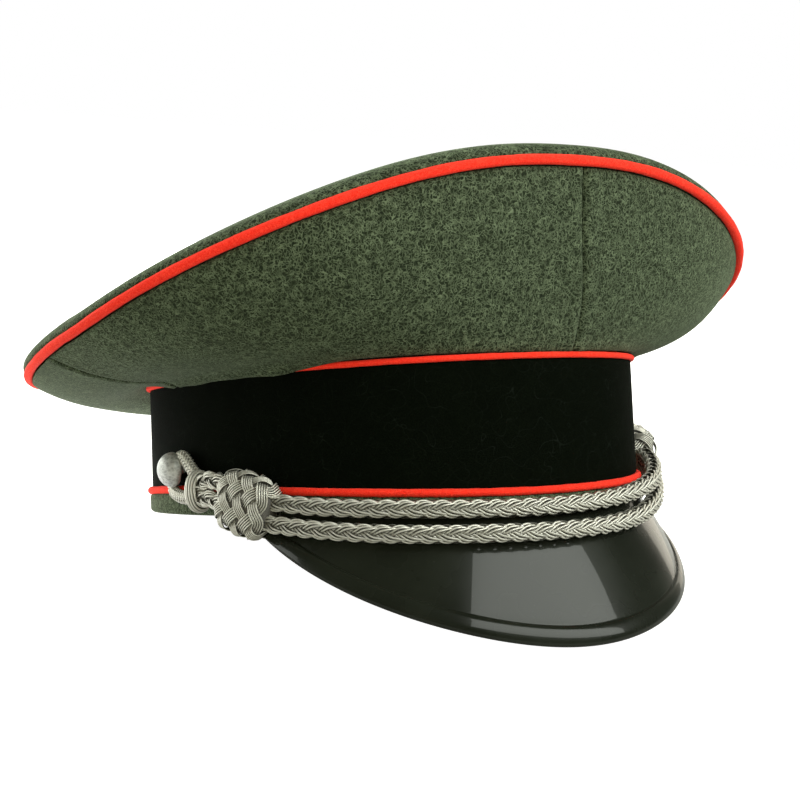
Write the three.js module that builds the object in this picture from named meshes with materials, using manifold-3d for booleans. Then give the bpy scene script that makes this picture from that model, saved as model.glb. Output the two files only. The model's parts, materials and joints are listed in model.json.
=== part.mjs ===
// Peaked cap: saddle-shaped wool crown on a stiff velvet band, with red piping,
// a gloss peak, and a double silver chin cord held by knots and side buttons.
//
// Millimetres, Z up. The cap is made upright in its own frame: Z is the band's axis,
// the foot of the rim is at z = 0, the front faces -Y and the wearer's right is -X.
// A "turn" is the angle round the cap from the front, growing towards the wearer's
// right. Last, the cap is tipped back to stand on its peak and the rear of its rim.

import * as THREE from 'three';
import { mergeVertices } from 'three/addons/utils/BufferGeometryUtils.js';
import Module from 'manifold-3d';

const wasm = await Module();
wasm.setup();

// ---------------------------------------------------------------- driving dimensions

const GAP = 0.3; // clearance between neighbouring pieces
const CLOTH = 2; // wall of the wool panels
const AROUND = 56; // facets round the whole cap

const OVAL = {
  halfWidth: 86.4, // head oval, to the outside of the lower piping
  halfLength: 102.1,
  egg: -0.035, // the front is narrower than the back
  fullness: 0.045, // the corners are fuller than an ellipse's
};

const RIM = { inset: 0.6, wall: 3.4, round: 1.4 };

const LOWER_PIPING = { radius: 1.1, inset: 1.1, mid: 7.5, sideRise: 2, sides: 6 };

const BAND = { footInset: 1.6, headInset: 2, wall: 3 };

const UPPER_PIPING = { radius: 1, inset: 1.6, mid: 49.7, frontRise: 2.5, sides: 6 };

const CROWN_EDGE = {
  halfWidth: 137.8,
  shiftBack: -5.7, // middle of the widest line, along Y
  front: { reach: 113.7, power: 2.34 }, // superellipse from the widest line forward
  back: { reach: 143.7, power: 2.06 },
  waves: [73.5, 33.2, 8.6, 0.9, 0.2, 0.8], // height: cosine terms 0 to 5 of the turn
};

const CROWN_PIPING = { radius: 1.8, proud: 0.3, sides: 8 };

const CROWN_TOP = {
  puff: [14.5, 1.5, 1.8], // rise inside the piping: cosine terms 0 to 2 of the turn
  puffPower: 6,
  roll: [4, -3], // overhang past the piping, most at the back: cosine terms 0 and 1
  rings: [0.985, 0.95, 0.89, 0.78, 0.6, 0.33], // share of the way from centre to edge
};

const CROWN_SIDE = {
  bulge: [6.4, -1.7, 0.8, -1.9, -1.1], // belly off the chord: cosine terms 0 to 4
  rows: 6,
  seams: [
    { name: 'front', footTurn: -10, headTurn: -1.5, bowTurn: 2 },
    { name: 'right', footTurn: 97, headTurn: 97, bowTurn: 0 },
    { name: 'back', footTurn: 180, headTurn: 180, bowTurn: 0 },
    { name: 'left', footTurn: 263, headTurn: 263, bowTurn: 0 },
  ],
};

const PEAK = {
  halfSpread: 73, // turn at which the edge would run out into the rim
  cutTurn: 69, // where the peak's tips end
  reach: 20, // forward of the rim at the front
  reachPower: 0.69,
  drop: 49, // below the rim at the front
  dropPower: 0.95,
  runOut: 2, // height at which the edge would meet the rim
  belly: 1.6, // outward curve of the face
  wall: 2.4,
  beadWidth: 7,
  beadRise: 1.3,
  columns: 35, // odd, so that a flat facet lies on the middle line
};

// Share of the way from root to bead, and from the bead's foot to the edge, with the
// bead's height as a share of beadRise.
const PEAK_FACE_ROWS = [0, 0.25, 0.5, 0.75, 1];
const PEAK_BEAD_ROWS = [
  { along: 0.18, rise: 0.75 },
  { along: 0.5, rise: 1 },
  { along: 0.82, rise: 0.8 },
  { along: 1, rise: 0.2 },
];

const CORD = { radius: 3.5, sides: 8, steps: 46 };

// Route of the two runs of the chin cord: at each turn, the height of each run and its
// distance out from the head oval. The peak pushes the lower run out at the front, and
// the knots lift both runs off the rim at the sides.
const CORD_ROUTE = [
  { turn: 77.5, upperUp: 13.6, upperOut: 6.6, lowerUp: 6, lowerOut: 6.6 },
  { turn: 68, upperUp: 7.4, upperOut: 7.2, lowerUp: -0.2, lowerOut: 7.2 },
  { turn: 57, upperUp: 4, upperOut: 5, lowerUp: -3.4, lowerOut: 7 },
  { turn: 47, upperUp: 2.6, upperOut: 4, lowerUp: -5.2, lowerOut: 7.2 },
  { turn: 37, upperUp: 1.8, upperOut: 3.9, lowerUp: -6.4, lowerOut: 7.8 },
  { turn: 20, upperUp: 0.6, upperOut: 3.9, lowerUp: -7.5, lowerOut: 8.4 },
  { turn: 4, upperUp: 0.2, upperOut: 3.9, lowerUp: -8, lowerOut: 8.1 },
  { turn: -10, upperUp: 0.7, upperOut: 3.9, lowerUp: -7.6, lowerOut: 7.7 },
  { turn: -22, upperUp: 2.1, upperOut: 3.9, lowerUp: -6.1, lowerOut: 7 },
  { turn: -33, upperUp: 4.4, upperOut: 4, lowerUp: -3.8, lowerOut: 5.8 },
  { turn: -45, upperUp: 8, upperOut: 4.8, lowerUp: 0.1, lowerOut: 5.6 },
  { turn: -57, upperUp: 13, upperOut: 6.8, lowerUp: 5.4, lowerOut: 6.8 },
  { turn: -68, upperUp: 17, upperOut: 7.2, lowerUp: 9.5, lowerOut: 7.2 },
  { turn: -77.5, upperUp: 16.8, upperOut: 6.6, lowerUp: 9.2, lowerOut: 6.6 },
];

const SLIDE_KNOT = {
  length: 25,
  height: 23.5,
  depth: 14,
  turn: 67.8,
  tilt: 18, // front end down, as the cords run
  power: 0.62,
  out: 7.5,
};

const SMALL_KNOT = { length: 12.4, height: 15, depth: 8.4, power: 0.8, out: 4.8 };

const LOOP = { halfHeight: 2, halfDepth: 1.2, sides: 6, steps: 16 };

// Centre line of the flat braided loop behind the button: distance along the band from
// the button towards the front, height above the button's middle, and distance out from
// the head oval, which grows where the loop crosses the lower piping.
const LOOP_ROUTE = [
  { along: 17, up: -3.4, out: 1.2 },
  { along: 12, up: 0.8, out: 0.3 },
  { along: 8, up: 4, out: -0.1 },
  { along: 3, up: 5.4, out: -0.1 },
  { along: -3.2, up: 4, out: -0.1 },
  { along: -5, up: -1, out: 0.3 },
  { along: -3, up: -6, out: 1.4 },
  { along: 3, up: -8.4, out: 1.9 },
  { along: 10, up: -9.2, out: 2 },
  { along: 17, up: -9, out: 2.4 },
];

const BUTTON = {
  radius: 6.8,
  edge: 1,
  dome: 4.4,
  shankRadius: 1.6,
  shankHeight: 5,
  facets: 16,
};

// What differs between the wearer's right and left: which way the turn goes, and how
// high each side's knots and button sit.
const SIDES = [
  { name: 'right', sign: 1, slideKnotUp: 4.2, smallKnotTurn: 82.5, smallKnotUp: 9.2, buttonUp: 17 },
  { name: 'left', sign: -1, slideKnotUp: 14.2, smallKnotTurn: 82.5, smallKnotUp: 11.6, buttonUp: 18 },
];
const BUTTON_TURN = 96;

const LOOKS = {
  fieldWool: { color: 0x4f5a4a, roughness: 0.95, metalness: 0 },
  redWool: { color: 0xd8301c, roughness: 0.85, metalness: 0 },
  velvet: { color: 0x0b120c, roughness: 1, metalness: 0 },
  gloss: { color: 0x0c0e0d, roughness: 0.12, metalness: 0 },
  silverCord: { color: 0xa9a79f, roughness: 0.45, metalness: 0.6 },
  silverMetal: { color: 0xb4b6b4, roughness: 0.35, metalness: 1 },
};

// ---------------------------------------------------------------- curves of the cap

const rad = THREE.MathUtils.degToRad;
const lerp = THREE.MathUtils.lerp;

function signedPower(value, power) {
  return Math.sign(value) * Math.abs(value) ** power;
}

/** Point of the head oval: an ellipse with an egg term and fuller corners. */
function ovalPoint(turn) {
  const full = 1 + (OVAL.fullness * (1 - Math.cos(4 * turn))) / 2;
  const wide = OVAL.halfWidth * (1 + OVAL.egg * Math.cos(turn));
  return new THREE.Vector2(
    -wide * full * Math.sin(turn),
    -OVAL.halfLength * full * Math.cos(turn),
  );
}

/** Point of the crown's edge seen from above: two superellipse halves. */
function crownPlan(turn, scale = 1, inset = 0) {
  const half = Math.cos(turn) > 0 ? CROWN_EDGE.front : CROWN_EDGE.back;
  const across = signedPower(Math.sin(turn), 2 / half.power);
  const along = signedPower(Math.cos(turn), 2 / half.power);
  return new THREE.Vector2(
    -(CROWN_EDGE.halfWidth - inset) * across * scale,
    CROWN_EDGE.shiftBack - (half.reach - inset) * along * scale,
  );
}

/** Sum of cosine terms of the turn, each fading towards the centre by its own order. */
function cosineSum(terms, turn, share = 1) {
  return terms.reduce((sum, term, order) => sum + term * share ** order * Math.cos(order * turn), 0);
}

/** Height of the saddle at a turn, and at a share of the way from centre to edge. */
function saddleHeight(turn, share = 1) {
  return cosineSum(CROWN_EDGE.waves, turn, share);
}

/** Unit vector pointing out of a closed plan curve at a turn. */
function outwardOf(plan, turn) {
  const step = 0.002;
  const along = plan(turn + step).sub(plan(turn - step)).normalize();
  return new THREE.Vector2(-along.y, along.x);
}

/** Point at a distance outside the head oval, at a height. */
function ringPoint(turn, offset, height) {
  const point = ovalPoint(turn).addScaledVector(outwardOf(ovalPoint, turn), offset);
  return new THREE.Vector3(point.x, point.y, height);
}

/** Point beside the crown's edge: outward and upward of it. */
function crownEdgePoint(turn, outward = 0, upward = 0) {
  const point = crownPlan(turn).addScaledVector(outwardOf(crownPlan, turn), outward);
  return new THREE.Vector3(point.x, point.y, saddleHeight(turn) + upward);
}

function lowerPipingHeight(turn) {
  return LOWER_PIPING.mid - LOWER_PIPING.sideRise * Math.cos(2 * turn);
}

function upperPipingHeight(turn) {
  return UPPER_PIPING.mid + UPPER_PIPING.frontRise * Math.cos(turn);
}

// ---------------------------------------------------------------- solid builders

/** Geometry from a list of points and triangles, with its shared points merged. */
function solidFrom(points, triangles) {
  const geometry = new THREE.BufferGeometry();
  const numbers = points.flatMap((point) => [point.x, point.y, point.z]);
  geometry.setAttribute('position', new THREE.Float32BufferAttribute(numbers, 3));
  geometry.setIndex(triangles);
  return mergeVertices(geometry, 1e-4);
}

/** Triangles of a grid of points, rows by columns, numbered from a first index. */
function gridTriangles(rows, columns, first, closed, flip) {
  const triangles = [];
  const strips = closed ? columns : columns - 1;
  for (let row = 0; row < rows - 1; row += 1) {
    for (let column = 0; column < strips; column += 1) {
      const next = (column + 1) % columns;
      const a = first + row * columns + column;
      const b = first + row * columns + next;
      const c = a + columns;
      const d = b + columns;
      triangles.push(...(flip ? [a, c, b, b, c, d] : [a, b, c, b, d, c]));
    }
  }
  return triangles;
}

/** Closed slab between an outer and an inner grid of points (lists of rows). */
function slab(outer, inner) {
  const rows = outer.length;
  const columns = outer[0].length;
  const count = rows * columns;
  const triangles = [
    ...gridTriangles(rows, columns, 0, false, false),
    ...gridTriangles(rows, columns, count, false, true),
  ];
  const edge = (a, b) => triangles.push(a, a + count, b, b, a + count, b + count);
  for (let column = 0; column < columns - 1; column += 1) {
    edge(column, column + 1);
    edge((rows - 1) * columns + column + 1, (rows - 1) * columns + column);
  }
  for (let row = 0; row < rows - 1; row += 1) {
    edge((row + 1) * columns, row * columns);
    edge(row * columns + columns - 1, (row + 1) * columns + columns - 1);
  }
  return solidFrom([...outer.flat(), ...inner.flat()], triangles);
}

/** Closed ring swept round the cap from a section given at each turn. */
function ringSolid(sectionAt) {
  const sections = [];
  for (let step = 0; step < AROUND; step += 1) {
    sections.push(sectionAt((2 * Math.PI * (step + 0.5)) / AROUND));
  }
  sections.push(sections[0]);
  const triangles = gridTriangles(AROUND + 1, sections[0].length, 0, true, false);
  return solidFrom(sections.flat(), triangles);
}

/** Round cord that closes on itself, along a function of the turn. */
function pipingSolid(pointAt, radius, sides) {
  class Route extends THREE.Curve {
    getPoint(share, target = new THREE.Vector3()) {
      return target.copy(pointAt(2 * Math.PI * (share + 0.5 / AROUND)));
    }

    getPointAt(share, target) {
      return this.getPoint(share, target);
    }
  }
  return plainSolid(new THREE.TubeGeometry(new Route(), AROUND, radius, sides, true));
}

/** Open-ended cord of a given half width and half depth along a smooth curve. */
function cordSolid(points, halfWidth, halfDepth, sides, steps) {
  const section = new THREE.Shape();
  for (let side = 0; side < sides; side += 1) {
    const angle = (2 * Math.PI * side) / sides;
    const method = side === 0 ? 'moveTo' : 'lineTo';
    section[method](halfWidth * Math.cos(angle), halfDepth * Math.sin(angle));
  }
  const extrudePath = new THREE.CatmullRomCurve3(points);
  return plainSolid(new THREE.ExtrudeGeometry(section, { steps, extrudePath, bevelEnabled: false }));
}

/** A geometry with only its positions left and its shared points merged. */
function plainSolid(geometry) {
  const plain = geometry.clone();
  plain.deleteAttribute('normal');
  plain.deleteAttribute('uv');
  return mergeVertices(plain, 1e-4);
}

/** Superellipsoid: a ball pushed towards a box as its power falls below 1. */
function roundedBlock(length, depth, height, power, around, down) {
  const ball = plainSolid(new THREE.SphereGeometry(1, around, down));
  const position = ball.getAttribute('position');
  for (let index = 0; index < position.count; index += 1) {
    position.setXYZ(
      index,
      (length / 2) * signedPower(position.getX(index), power),
      (depth / 2) * signedPower(position.getY(index), power),
      (height / 2) * signedPower(position.getZ(index), power),
    );
  }
  return ball;
}

function toManifold(geometry) {
  const numProp = 3;
  const vertProperties = new Float32Array(geometry.getAttribute('position').array);
  const triVerts = new Uint32Array(geometry.getIndex().array);
  return new wasm.Manifold(new wasm.Mesh({ numProp, vertProperties, triVerts }));
}

function fromManifold(solid) {
  const mesh = solid.getMesh();
  const geometry = new THREE.BufferGeometry();
  geometry.setAttribute('position', new THREE.BufferAttribute(mesh.vertProperties, 3));
  geometry.setIndex(new THREE.BufferAttribute(mesh.triVerts, 1));
  return geometry;
}

/** Matrix of a place on the band: X along it, Y outward, Z up. */
function placeOnBand(turn, standoff, height) {
  const outward = outwardOf(ovalPoint, turn);
  const along = new THREE.Vector3(outward.y, -outward.x, 0);
  const out = new THREE.Vector3(outward.x, outward.y, 0);
  const up = new THREE.Vector3(0, 0, 1);
  const place = new THREE.Matrix4().makeBasis(along, out, up);
  return place.setPosition(ringPoint(turn, standoff, height));
}

// ---------------------------------------------------------------- crown

/** Outer line of a side panel, in the upright plane through its foot and head. */
function sideProfile(turn) {
  const bulge = cosineSum(CROWN_SIDE.bulge, turn);
  const head = crownEdgePoint(turn, -2 * GAP, -(CROWN_PIPING.radius + GAP));
  const piping = ringPoint(turn, -UPPER_PIPING.inset, upperPipingHeight(turn));
  const between = (foot) => {
    const chord = head.clone().sub(foot);
    const reach = Math.hypot(chord.x, chord.y);
    const level = new THREE.Vector3(chord.x / reach, chord.y / reach, 0);
    return { foot, reach, level, rise: chord.z, length: chord.length(), bulge };
  };
  const nearPiping = between(piping);
  const start = sideNormal(nearPiping, 0).multiplyScalar(-(UPPER_PIPING.radius + GAP));
  return between(piping.clone().add(start));
}

/** Outward normal of a side profile at a share of its height. */
function sideNormal(profile, share) {
  const { reach, rise, length, bulge, level } = profile;
  const swell = (bulge * 4 * (1 - 2 * share)) / length;
  const run = reach + swell * rise;
  const climb = rise - swell * reach;
  return level.clone().multiplyScalar(climb).setZ(-run).normalize();
}

/** Point of a side panel, at a share of its height and a depth into the cloth. */
function sidePoint(turn, share, depth) {
  const profile = sideProfile(turn);
  const { foot, reach, rise, length, level, bulge } = profile;
  const belly = (bulge * 4 * share * (1 - share)) / length;
  const point = foot.clone().addScaledVector(level, reach * share + belly * rise);
  point.z = foot.z + rise * share - belly * reach;
  const normal = sideNormal(profile, share);
  // At the head the cloth's thickness is level, so that it clears the piping.
  return point.addScaledVector(share < 1 ? normal : level, -depth);
}

/** Turn of a seam at a share of its height, some whole turns further round. */
function seamTurn(seam, share, wholeTurns = 0) {
  const bow = seam.bowTurn * 4 * share * (1 - share);
  return rad(lerp(seam.footTurn, seam.headTurn, share) + bow + 360 * wholeTurns);
}

/** One quarter of the crown's side, between two seams. */
function crownQuarter(fromSeam, toSeam, wholeTurns = 0) {
  const columns = AROUND / 4;
  const halfGap = GAP / 2 / OVAL.halfLength;
  const grid = (depth) => {
    const rows = [];
    for (let row = 0; row <= CROWN_SIDE.rows; row += 1) {
      const share = row / CROWN_SIDE.rows;
      const from = seamTurn(fromSeam, share) + halfGap;
      const to = seamTurn(toSeam, share, wholeTurns) - halfGap;
      const points = [];
      for (let column = 0; column <= columns; column += 1) {
        points.push(sidePoint(lerp(from, to, column / columns), share, depth));
      }
      rows.push(points);
    }
    return rows;
  };
  return slab(grid(CLOTH), grid(0));
}

/** Share of the way out at which the top panel stands just clear of its piping. */
function footShare(turn) {
  const rise = (CROWN_PIPING.radius + GAP) / cosineSum(CROWN_TOP.puff, turn);
  return (1 - rise ** 2) ** (1 / CROWN_TOP.puffPower);
}

/** Point of the top panel: the saddle raised by a puff that rolls over at the edge. */
function topPoint(turn, share, depth) {
  const rise = Math.sqrt(1 - share ** CROWN_TOP.puffPower);
  const puff = (cosineSum(CROWN_TOP.puff, turn, share) - depth) * rise;
  const roll = cosineSum(CROWN_TOP.roll, turn) * Math.sin(Math.PI * rise);
  const plan = crownPlan(turn, share, depth);
  plan.add(new THREE.Vector2(-Math.sin(turn), -Math.cos(turn)).multiplyScalar(roll));
  return new THREE.Vector3(plan.x, plan.y, saddleHeight(turn, share) + puff);
}

/** Domed top panel, hollow underneath. */
function crownTop() {
  const ringCount = CROWN_TOP.rings.length + 1;
  const skin = (depth) => {
    const points = [];
    for (let ring = 0; ring < ringCount; ring += 1) {
      for (let step = 0; step < AROUND; step += 1) {
        const turn = (2 * Math.PI * (step + 0.5)) / AROUND;
        const share = ring === 0 ? footShare(turn) : CROWN_TOP.rings[ring - 1];
        points.push(topPoint(turn, share, depth));
      }
    }
    return [...points, topPoint(0, 0, depth)];
  };
  const outer = skin(0);
  const inner = skin(CLOTH);
  const count = outer.length;
  const lastRing = count - 1 - AROUND;
  const triangles = [
    ...gridTriangles(ringCount, AROUND, 0, true, true),
    ...gridTriangles(ringCount, AROUND, count, true, false),
  ];
  for (let step = 0; step < AROUND; step += 1) {
    const next = (step + 1) % AROUND;
    triangles.push(lastRing + step, count - 1, lastRing + next);
    triangles.push(count + lastRing + step, count + lastRing + next, 2 * count - 1);
    triangles.push(step, next, count + step, next, count + next, count + step);
  }
  return solidFrom([...outer, ...inner], triangles);
}

// ---------------------------------------------------------------- band, rim and peak

function bandSection(turn) {
  const foot = lowerPipingHeight(turn) + LOWER_PIPING.radius + GAP;
  const head = upperPipingHeight(turn) - UPPER_PIPING.radius - GAP;
  return [
    ringPoint(turn, -BAND.footInset, foot),
    ringPoint(turn, -BAND.headInset, head),
    ringPoint(turn, -BAND.headInset - BAND.wall, head),
    ringPoint(turn, -BAND.footInset - BAND.wall, foot),
  ];
}

function rimSection(turn) {
  const head = lowerPipingHeight(turn) - LOWER_PIPING.radius - GAP;
  const { inset, wall, round } = RIM;
  return [
    ringPoint(turn, -inset - round, 0),
    ringPoint(turn, -inset - round * 0.3, round * 0.3),
    ringPoint(turn, -inset, round),
    ringPoint(turn, -inset, head),
    ringPoint(turn, -inset - wall, head),
    ringPoint(turn, -inset - wall, 0),
  ];
}

/** Size of the peak at a turn: how far its edge is out from, and below, the rim. */
function peakSize(turn) {
  const fade = Math.cos((Math.PI / 2) * Math.abs(turn / rad(PEAK.halfSpread)));
  const reach = PEAK.reach * fade ** PEAK.reachPower;
  const drop = PEAK.drop * fade ** PEAK.dropPower - PEAK.runOut;
  return { reach, drop };
}

/** Point of the peak at a distance down its face, proud of the face by some height. */
function peakPoint(turn, share, proud) {
  const { reach, drop } = peakSize(turn);
  const length = Math.hypot(reach, drop - GAP);
  const swell = (PEAK.belly * (length / PEAK.drop) * 4) / length;
  const out = reach * share + swell * share * (1 - share) * drop;
  const down = (drop - GAP) * share - swell * share * (1 - share) * reach;
  const slopeOut = reach + swell * (1 - 2 * share) * drop;
  const slopeDown = drop - GAP - swell * (1 - 2 * share) * reach;
  const slope = Math.hypot(slopeOut, slopeDown);
  const offset = out + (proud * slopeDown) / slope - RIM.inset;
  const height = -GAP - down + (proud * slopeOut) / slope;
  return ringPoint(turn, offset, height);
}

/** Peak with a raised bead along its edge, or the room that it takes up. */
function peakSolid(clearance = 0) {
  const outer = [];
  const inner = [];
  const endTurn = rad(PEAK.cutTurn) + clearance / OVAL.halfLength;
  for (let column = 0; column <= PEAK.columns; column += 1) {
    const turn = lerp(endTurn, -endTurn, column / PEAK.columns);
    const { reach, drop } = peakSize(turn);
    const length = Math.hypot(reach, drop);
    const bead = Math.min(PEAK.beadWidth, length * 0.4);
    const beadFoot = 1 - bead / length;
    const rise = PEAK.beadRise * (bead / PEAK.beadWidth);
    const rows = [
      ...PEAK_FACE_ROWS.map((along) => ({ share: along * beadFoot, proud: 0 })),
      ...PEAK_BEAD_ROWS.map((row) => ({
        share: lerp(beadFoot, 1 + clearance / length, row.along),
        proud: row.rise * rise,
      })),
    ];
    outer.push(rows.map((row) => peakPoint(turn, row.share, row.proud + clearance)));
    inner.push(rows.map((row) => peakPoint(turn, row.share, -PEAK.wall - clearance)));
  }
  return slab(outer, inner);
}

// ---------------------------------------------------------------- chin cord

function cordRoute(run) {
  return CORD_ROUTE.map((row) => ringPoint(rad(row.turn), row[`${run}Out`], row[`${run}Up`]));
}

function cordRun(run, extra = 0) {
  const radius = CORD.radius + extra;
  return cordSolid(cordRoute(run), radius, radius, CORD.sides, CORD.steps);
}

/** Woven slide knot: a rounded block, with the cords' passage and the peak cut out. */
function slideKnot(side) {
  const { length, depth, height, power, out, turn, tilt } = SLIDE_KNOT;
  const block = roundedBlock(length, depth, height, power, 14, 10).rotateY(-side.sign * rad(tilt));
  block.applyMatrix4(placeOnBand(rad(side.sign * turn), out, side.slideKnotUp));
  const passage = toManifold(cordRun('upper', GAP)).add(toManifold(cordRun('lower', GAP)));
  const knot = toManifold(block).subtract(passage).subtract(toManifold(peakSolid(GAP)));
  return fromManifold(knot);
}

function smallKnot(side) {
  const { length, depth, height, power, out } = SMALL_KNOT;
  const knot = roundedBlock(length, depth, height, power, 12, 8);
  return knot.applyMatrix4(placeOnBand(rad(side.sign * side.smallKnotTurn), out, side.smallKnotUp));
}

/** Flat braided loop that runs from the small knot round the button's shank. */
function cordLoop(side) {
  const perMillimetre = 1 / OVAL.halfLength;
  const points = LOOP_ROUTE.map((row) => {
    const turn = rad(BUTTON_TURN) - row.along * perMillimetre;
    return ringPoint(side.sign * turn, row.out, side.buttonUp + row.up);
  });
  return cordSolid(points, LOOP.halfDepth, LOOP.halfHeight, LOOP.sides, LOOP.steps);
}

/** Domed button on a short shank, its axis straight out of the band. */
function buttonSolid(side) {
  const { radius, edge, dome, shankRadius, shankHeight, facets } = BUTTON;
  const profile = [
    new THREE.Vector2(0, 0),
    new THREE.Vector2(shankRadius, 0),
    new THREE.Vector2(shankRadius, shankHeight),
    new THREE.Vector2(radius - edge, shankHeight),
    new THREE.Vector2(radius, shankHeight + edge),
  ];
  const domeSteps = 4;
  for (let step = 1; step < domeSteps; step += 1) {
    const angle = (Math.PI / 2) * (step / domeSteps);
    profile.push(new THREE.Vector2(radius * Math.cos(angle), shankHeight + edge + dome * Math.sin(angle)));
  }
  profile.push(new THREE.Vector2(0, shankHeight + edge + dome));
  const button = plainSolid(new THREE.LatheGeometry(profile, facets));
  const standoff = GAP - BAND.footInset;
  return button.applyMatrix4(placeOnBand(rad(side.sign * BUTTON_TURN), standoff, side.buttonUp));
}

// ---------------------------------------------------------------- assembly

const materials = {};
for (const [name, look] of Object.entries(LOOKS)) {
  materials[name] = new THREE.MeshStandardMaterial({ name, ...look });
}

const cap = new THREE.Group();

function addPiece(name, geometry, material) {
  const mesh = new THREE.Mesh(geometry, material);
  mesh.name = name;
  cap.add(mesh);
  return mesh;
}

const [front, right, back, left] = CROWN_SIDE.seams;
addPiece('crown_top', crownTop(), materials.fieldWool);
addPiece('crown_front_right', crownQuarter(front, right), materials.fieldWool);
addPiece('crown_back_right', crownQuarter(right, back), materials.fieldWool);
addPiece('crown_back_left', crownQuarter(back, left), materials.fieldWool);
addPiece('crown_front_left', crownQuarter(left, front, 1), materials.fieldWool);
addPiece(
  'crown_piping',
  pipingSolid((turn) => crownEdgePoint(turn, CROWN_PIPING.proud), CROWN_PIPING.radius, CROWN_PIPING.sides),
  materials.redWool,
);
addPiece(
  'upper_band_piping',
  pipingSolid(
    (turn) => ringPoint(turn, -UPPER_PIPING.inset, upperPipingHeight(turn)),
    UPPER_PIPING.radius,
    UPPER_PIPING.sides,
  ),
  materials.redWool,
);
addPiece('band', ringSolid(bandSection), materials.velvet);
addPiece(
  'lower_band_piping',
  pipingSolid(
    (turn) => ringPoint(turn, -LOWER_PIPING.inset, lowerPipingHeight(turn)),
    LOWER_PIPING.radius,
    LOWER_PIPING.sides,
  ),
  materials.redWool,
);
const rim = addPiece('rim_binding', ringSolid(rimSection), materials.fieldWool);
const peak = addPiece('peak', peakSolid(), materials.gloss);
addPiece('chin_cord_upper', cordRun('upper'), materials.silverCord);
addPiece('chin_cord_lower', cordRun('lower'), materials.silverCord);
for (const side of SIDES) {
  addPiece(`slide_knot_${side.name}`, slideKnot(side), materials.silverCord);
  addPiece(`small_knot_${side.name}`, smallKnot(side), materials.silverCord);
  addPiece(`cord_loop_${side.name}`, cordLoop(side), materials.silverCord);
  addPiece(`button_${side.name}`, buttonSolid(side), materials.silverMetal);
}

// ---------------------------------------------------------------- standing pose

function cornersOf(mesh) {
  const position = mesh.geometry.getAttribute('position');
  const corner = (_, index) => new THREE.Vector3().fromBufferAttribute(position, index);
  return Array.from({ length: position.count }, corner);
}

/** Tip about X at which the lowest corners of two pieces stand on one level plane. */
function standingTip(toePiece, heelPiece) {
  let tip = 0;
  for (let pass = 0; pass < 8; pass += 1) {
    const height = (p) => p.z * Math.cos(tip) - p.y * Math.sin(tip);
    const lowest = (corners) => corners.reduce((a, b) => (height(b) < height(a) ? b : a));
    const toe = lowest(cornersOf(toePiece));
    const heel = lowest(cornersOf(heelPiece));
    tip = Math.atan2(heel.z - toe.z, heel.y - toe.y);
  }
  return tip;
}

cap.rotation.x = -standingTip(peak, rim);
cap.updateMatrixWorld(true);
const bounds = new THREE.Box3().setFromObject(cap, true);
const middle = bounds.getCenter(new THREE.Vector3());
cap.position.set(-middle.x, -middle.y, -bounds.min.z);

export default cap;
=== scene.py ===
"""Peaked cap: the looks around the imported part, laid out as a Blender add-on.

Lengths inside the shape functions are millimetres in the cap's own frame: Z is the
band's axis, the foot of the rim is at z = 0, the front faces -Y and the wearer's right
is -X. A turn is the angle round the cap from the front, growing towards the wearer's
right. The head_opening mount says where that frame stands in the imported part.
"""

import itertools
import json
import math

import bpy
import numpy as np
from bpy.props import FloatProperty, FloatVectorProperty, IntProperty, PointerProperty
from mathutils import Matrix, Quaternion, Vector


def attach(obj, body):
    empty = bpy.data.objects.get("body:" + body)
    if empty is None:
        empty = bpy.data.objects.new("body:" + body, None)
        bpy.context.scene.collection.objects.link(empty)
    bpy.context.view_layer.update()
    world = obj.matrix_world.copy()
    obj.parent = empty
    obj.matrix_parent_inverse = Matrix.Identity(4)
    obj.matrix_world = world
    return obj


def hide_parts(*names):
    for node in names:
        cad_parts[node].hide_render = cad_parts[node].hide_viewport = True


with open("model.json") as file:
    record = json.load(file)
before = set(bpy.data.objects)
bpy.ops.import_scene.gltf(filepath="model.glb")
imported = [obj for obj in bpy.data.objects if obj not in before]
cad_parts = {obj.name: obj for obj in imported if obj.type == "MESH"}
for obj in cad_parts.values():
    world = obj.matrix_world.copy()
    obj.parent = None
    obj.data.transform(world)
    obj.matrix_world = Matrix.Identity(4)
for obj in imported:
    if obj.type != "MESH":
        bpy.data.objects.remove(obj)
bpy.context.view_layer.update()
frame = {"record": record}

bl_info = {
    "name": "Peaked cap",
    "version": (1, 0, 0),
    "blender": (4, 5, 0),
    "location": "View3D > Sidebar > Cap",
    "description": "Wool, velvet, lacquer and silver braid for a peaked cap",
    "category": "Object",
}

MM = 0.001
BODY = "root"
rad = math.radians

# ------------------------------------------------------------------ where the cap stands

HEAD = next(m for m in frame["record"]["mounts"] if m["name"] == "head_opening")
ORIGIN = np.array(HEAD["pos_m"])
UP = -np.array(HEAD["axis"])
BASIS = np.array([[1.0, 0.0, 0.0], [0.0, UP[2], -UP[1]], UP])


def to_world(points):
    """Points of the cap's frame in millimetres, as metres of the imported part."""
    return ORIGIN + MM * np.asarray(points) @ BASIS


# ------------------------------------------------------------------ sizes of the cap

GAP = 0.3  # between neighbouring pieces
CLOTH = 2.0
OVAL = {"half_width": 86.4, "half_length": 102.1, "egg": -0.035, "fullness": 0.045}
RIM = {"inset": 0.6, "wall": 3.4, "corner": 1.5, "slack": 0.05, "wave": 0.25}
BAND = {"foot_inset": 1.6, "head_inset": 2.0, "wall": 3.0, "corner": 0.7, "lap": 0.1}
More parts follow.
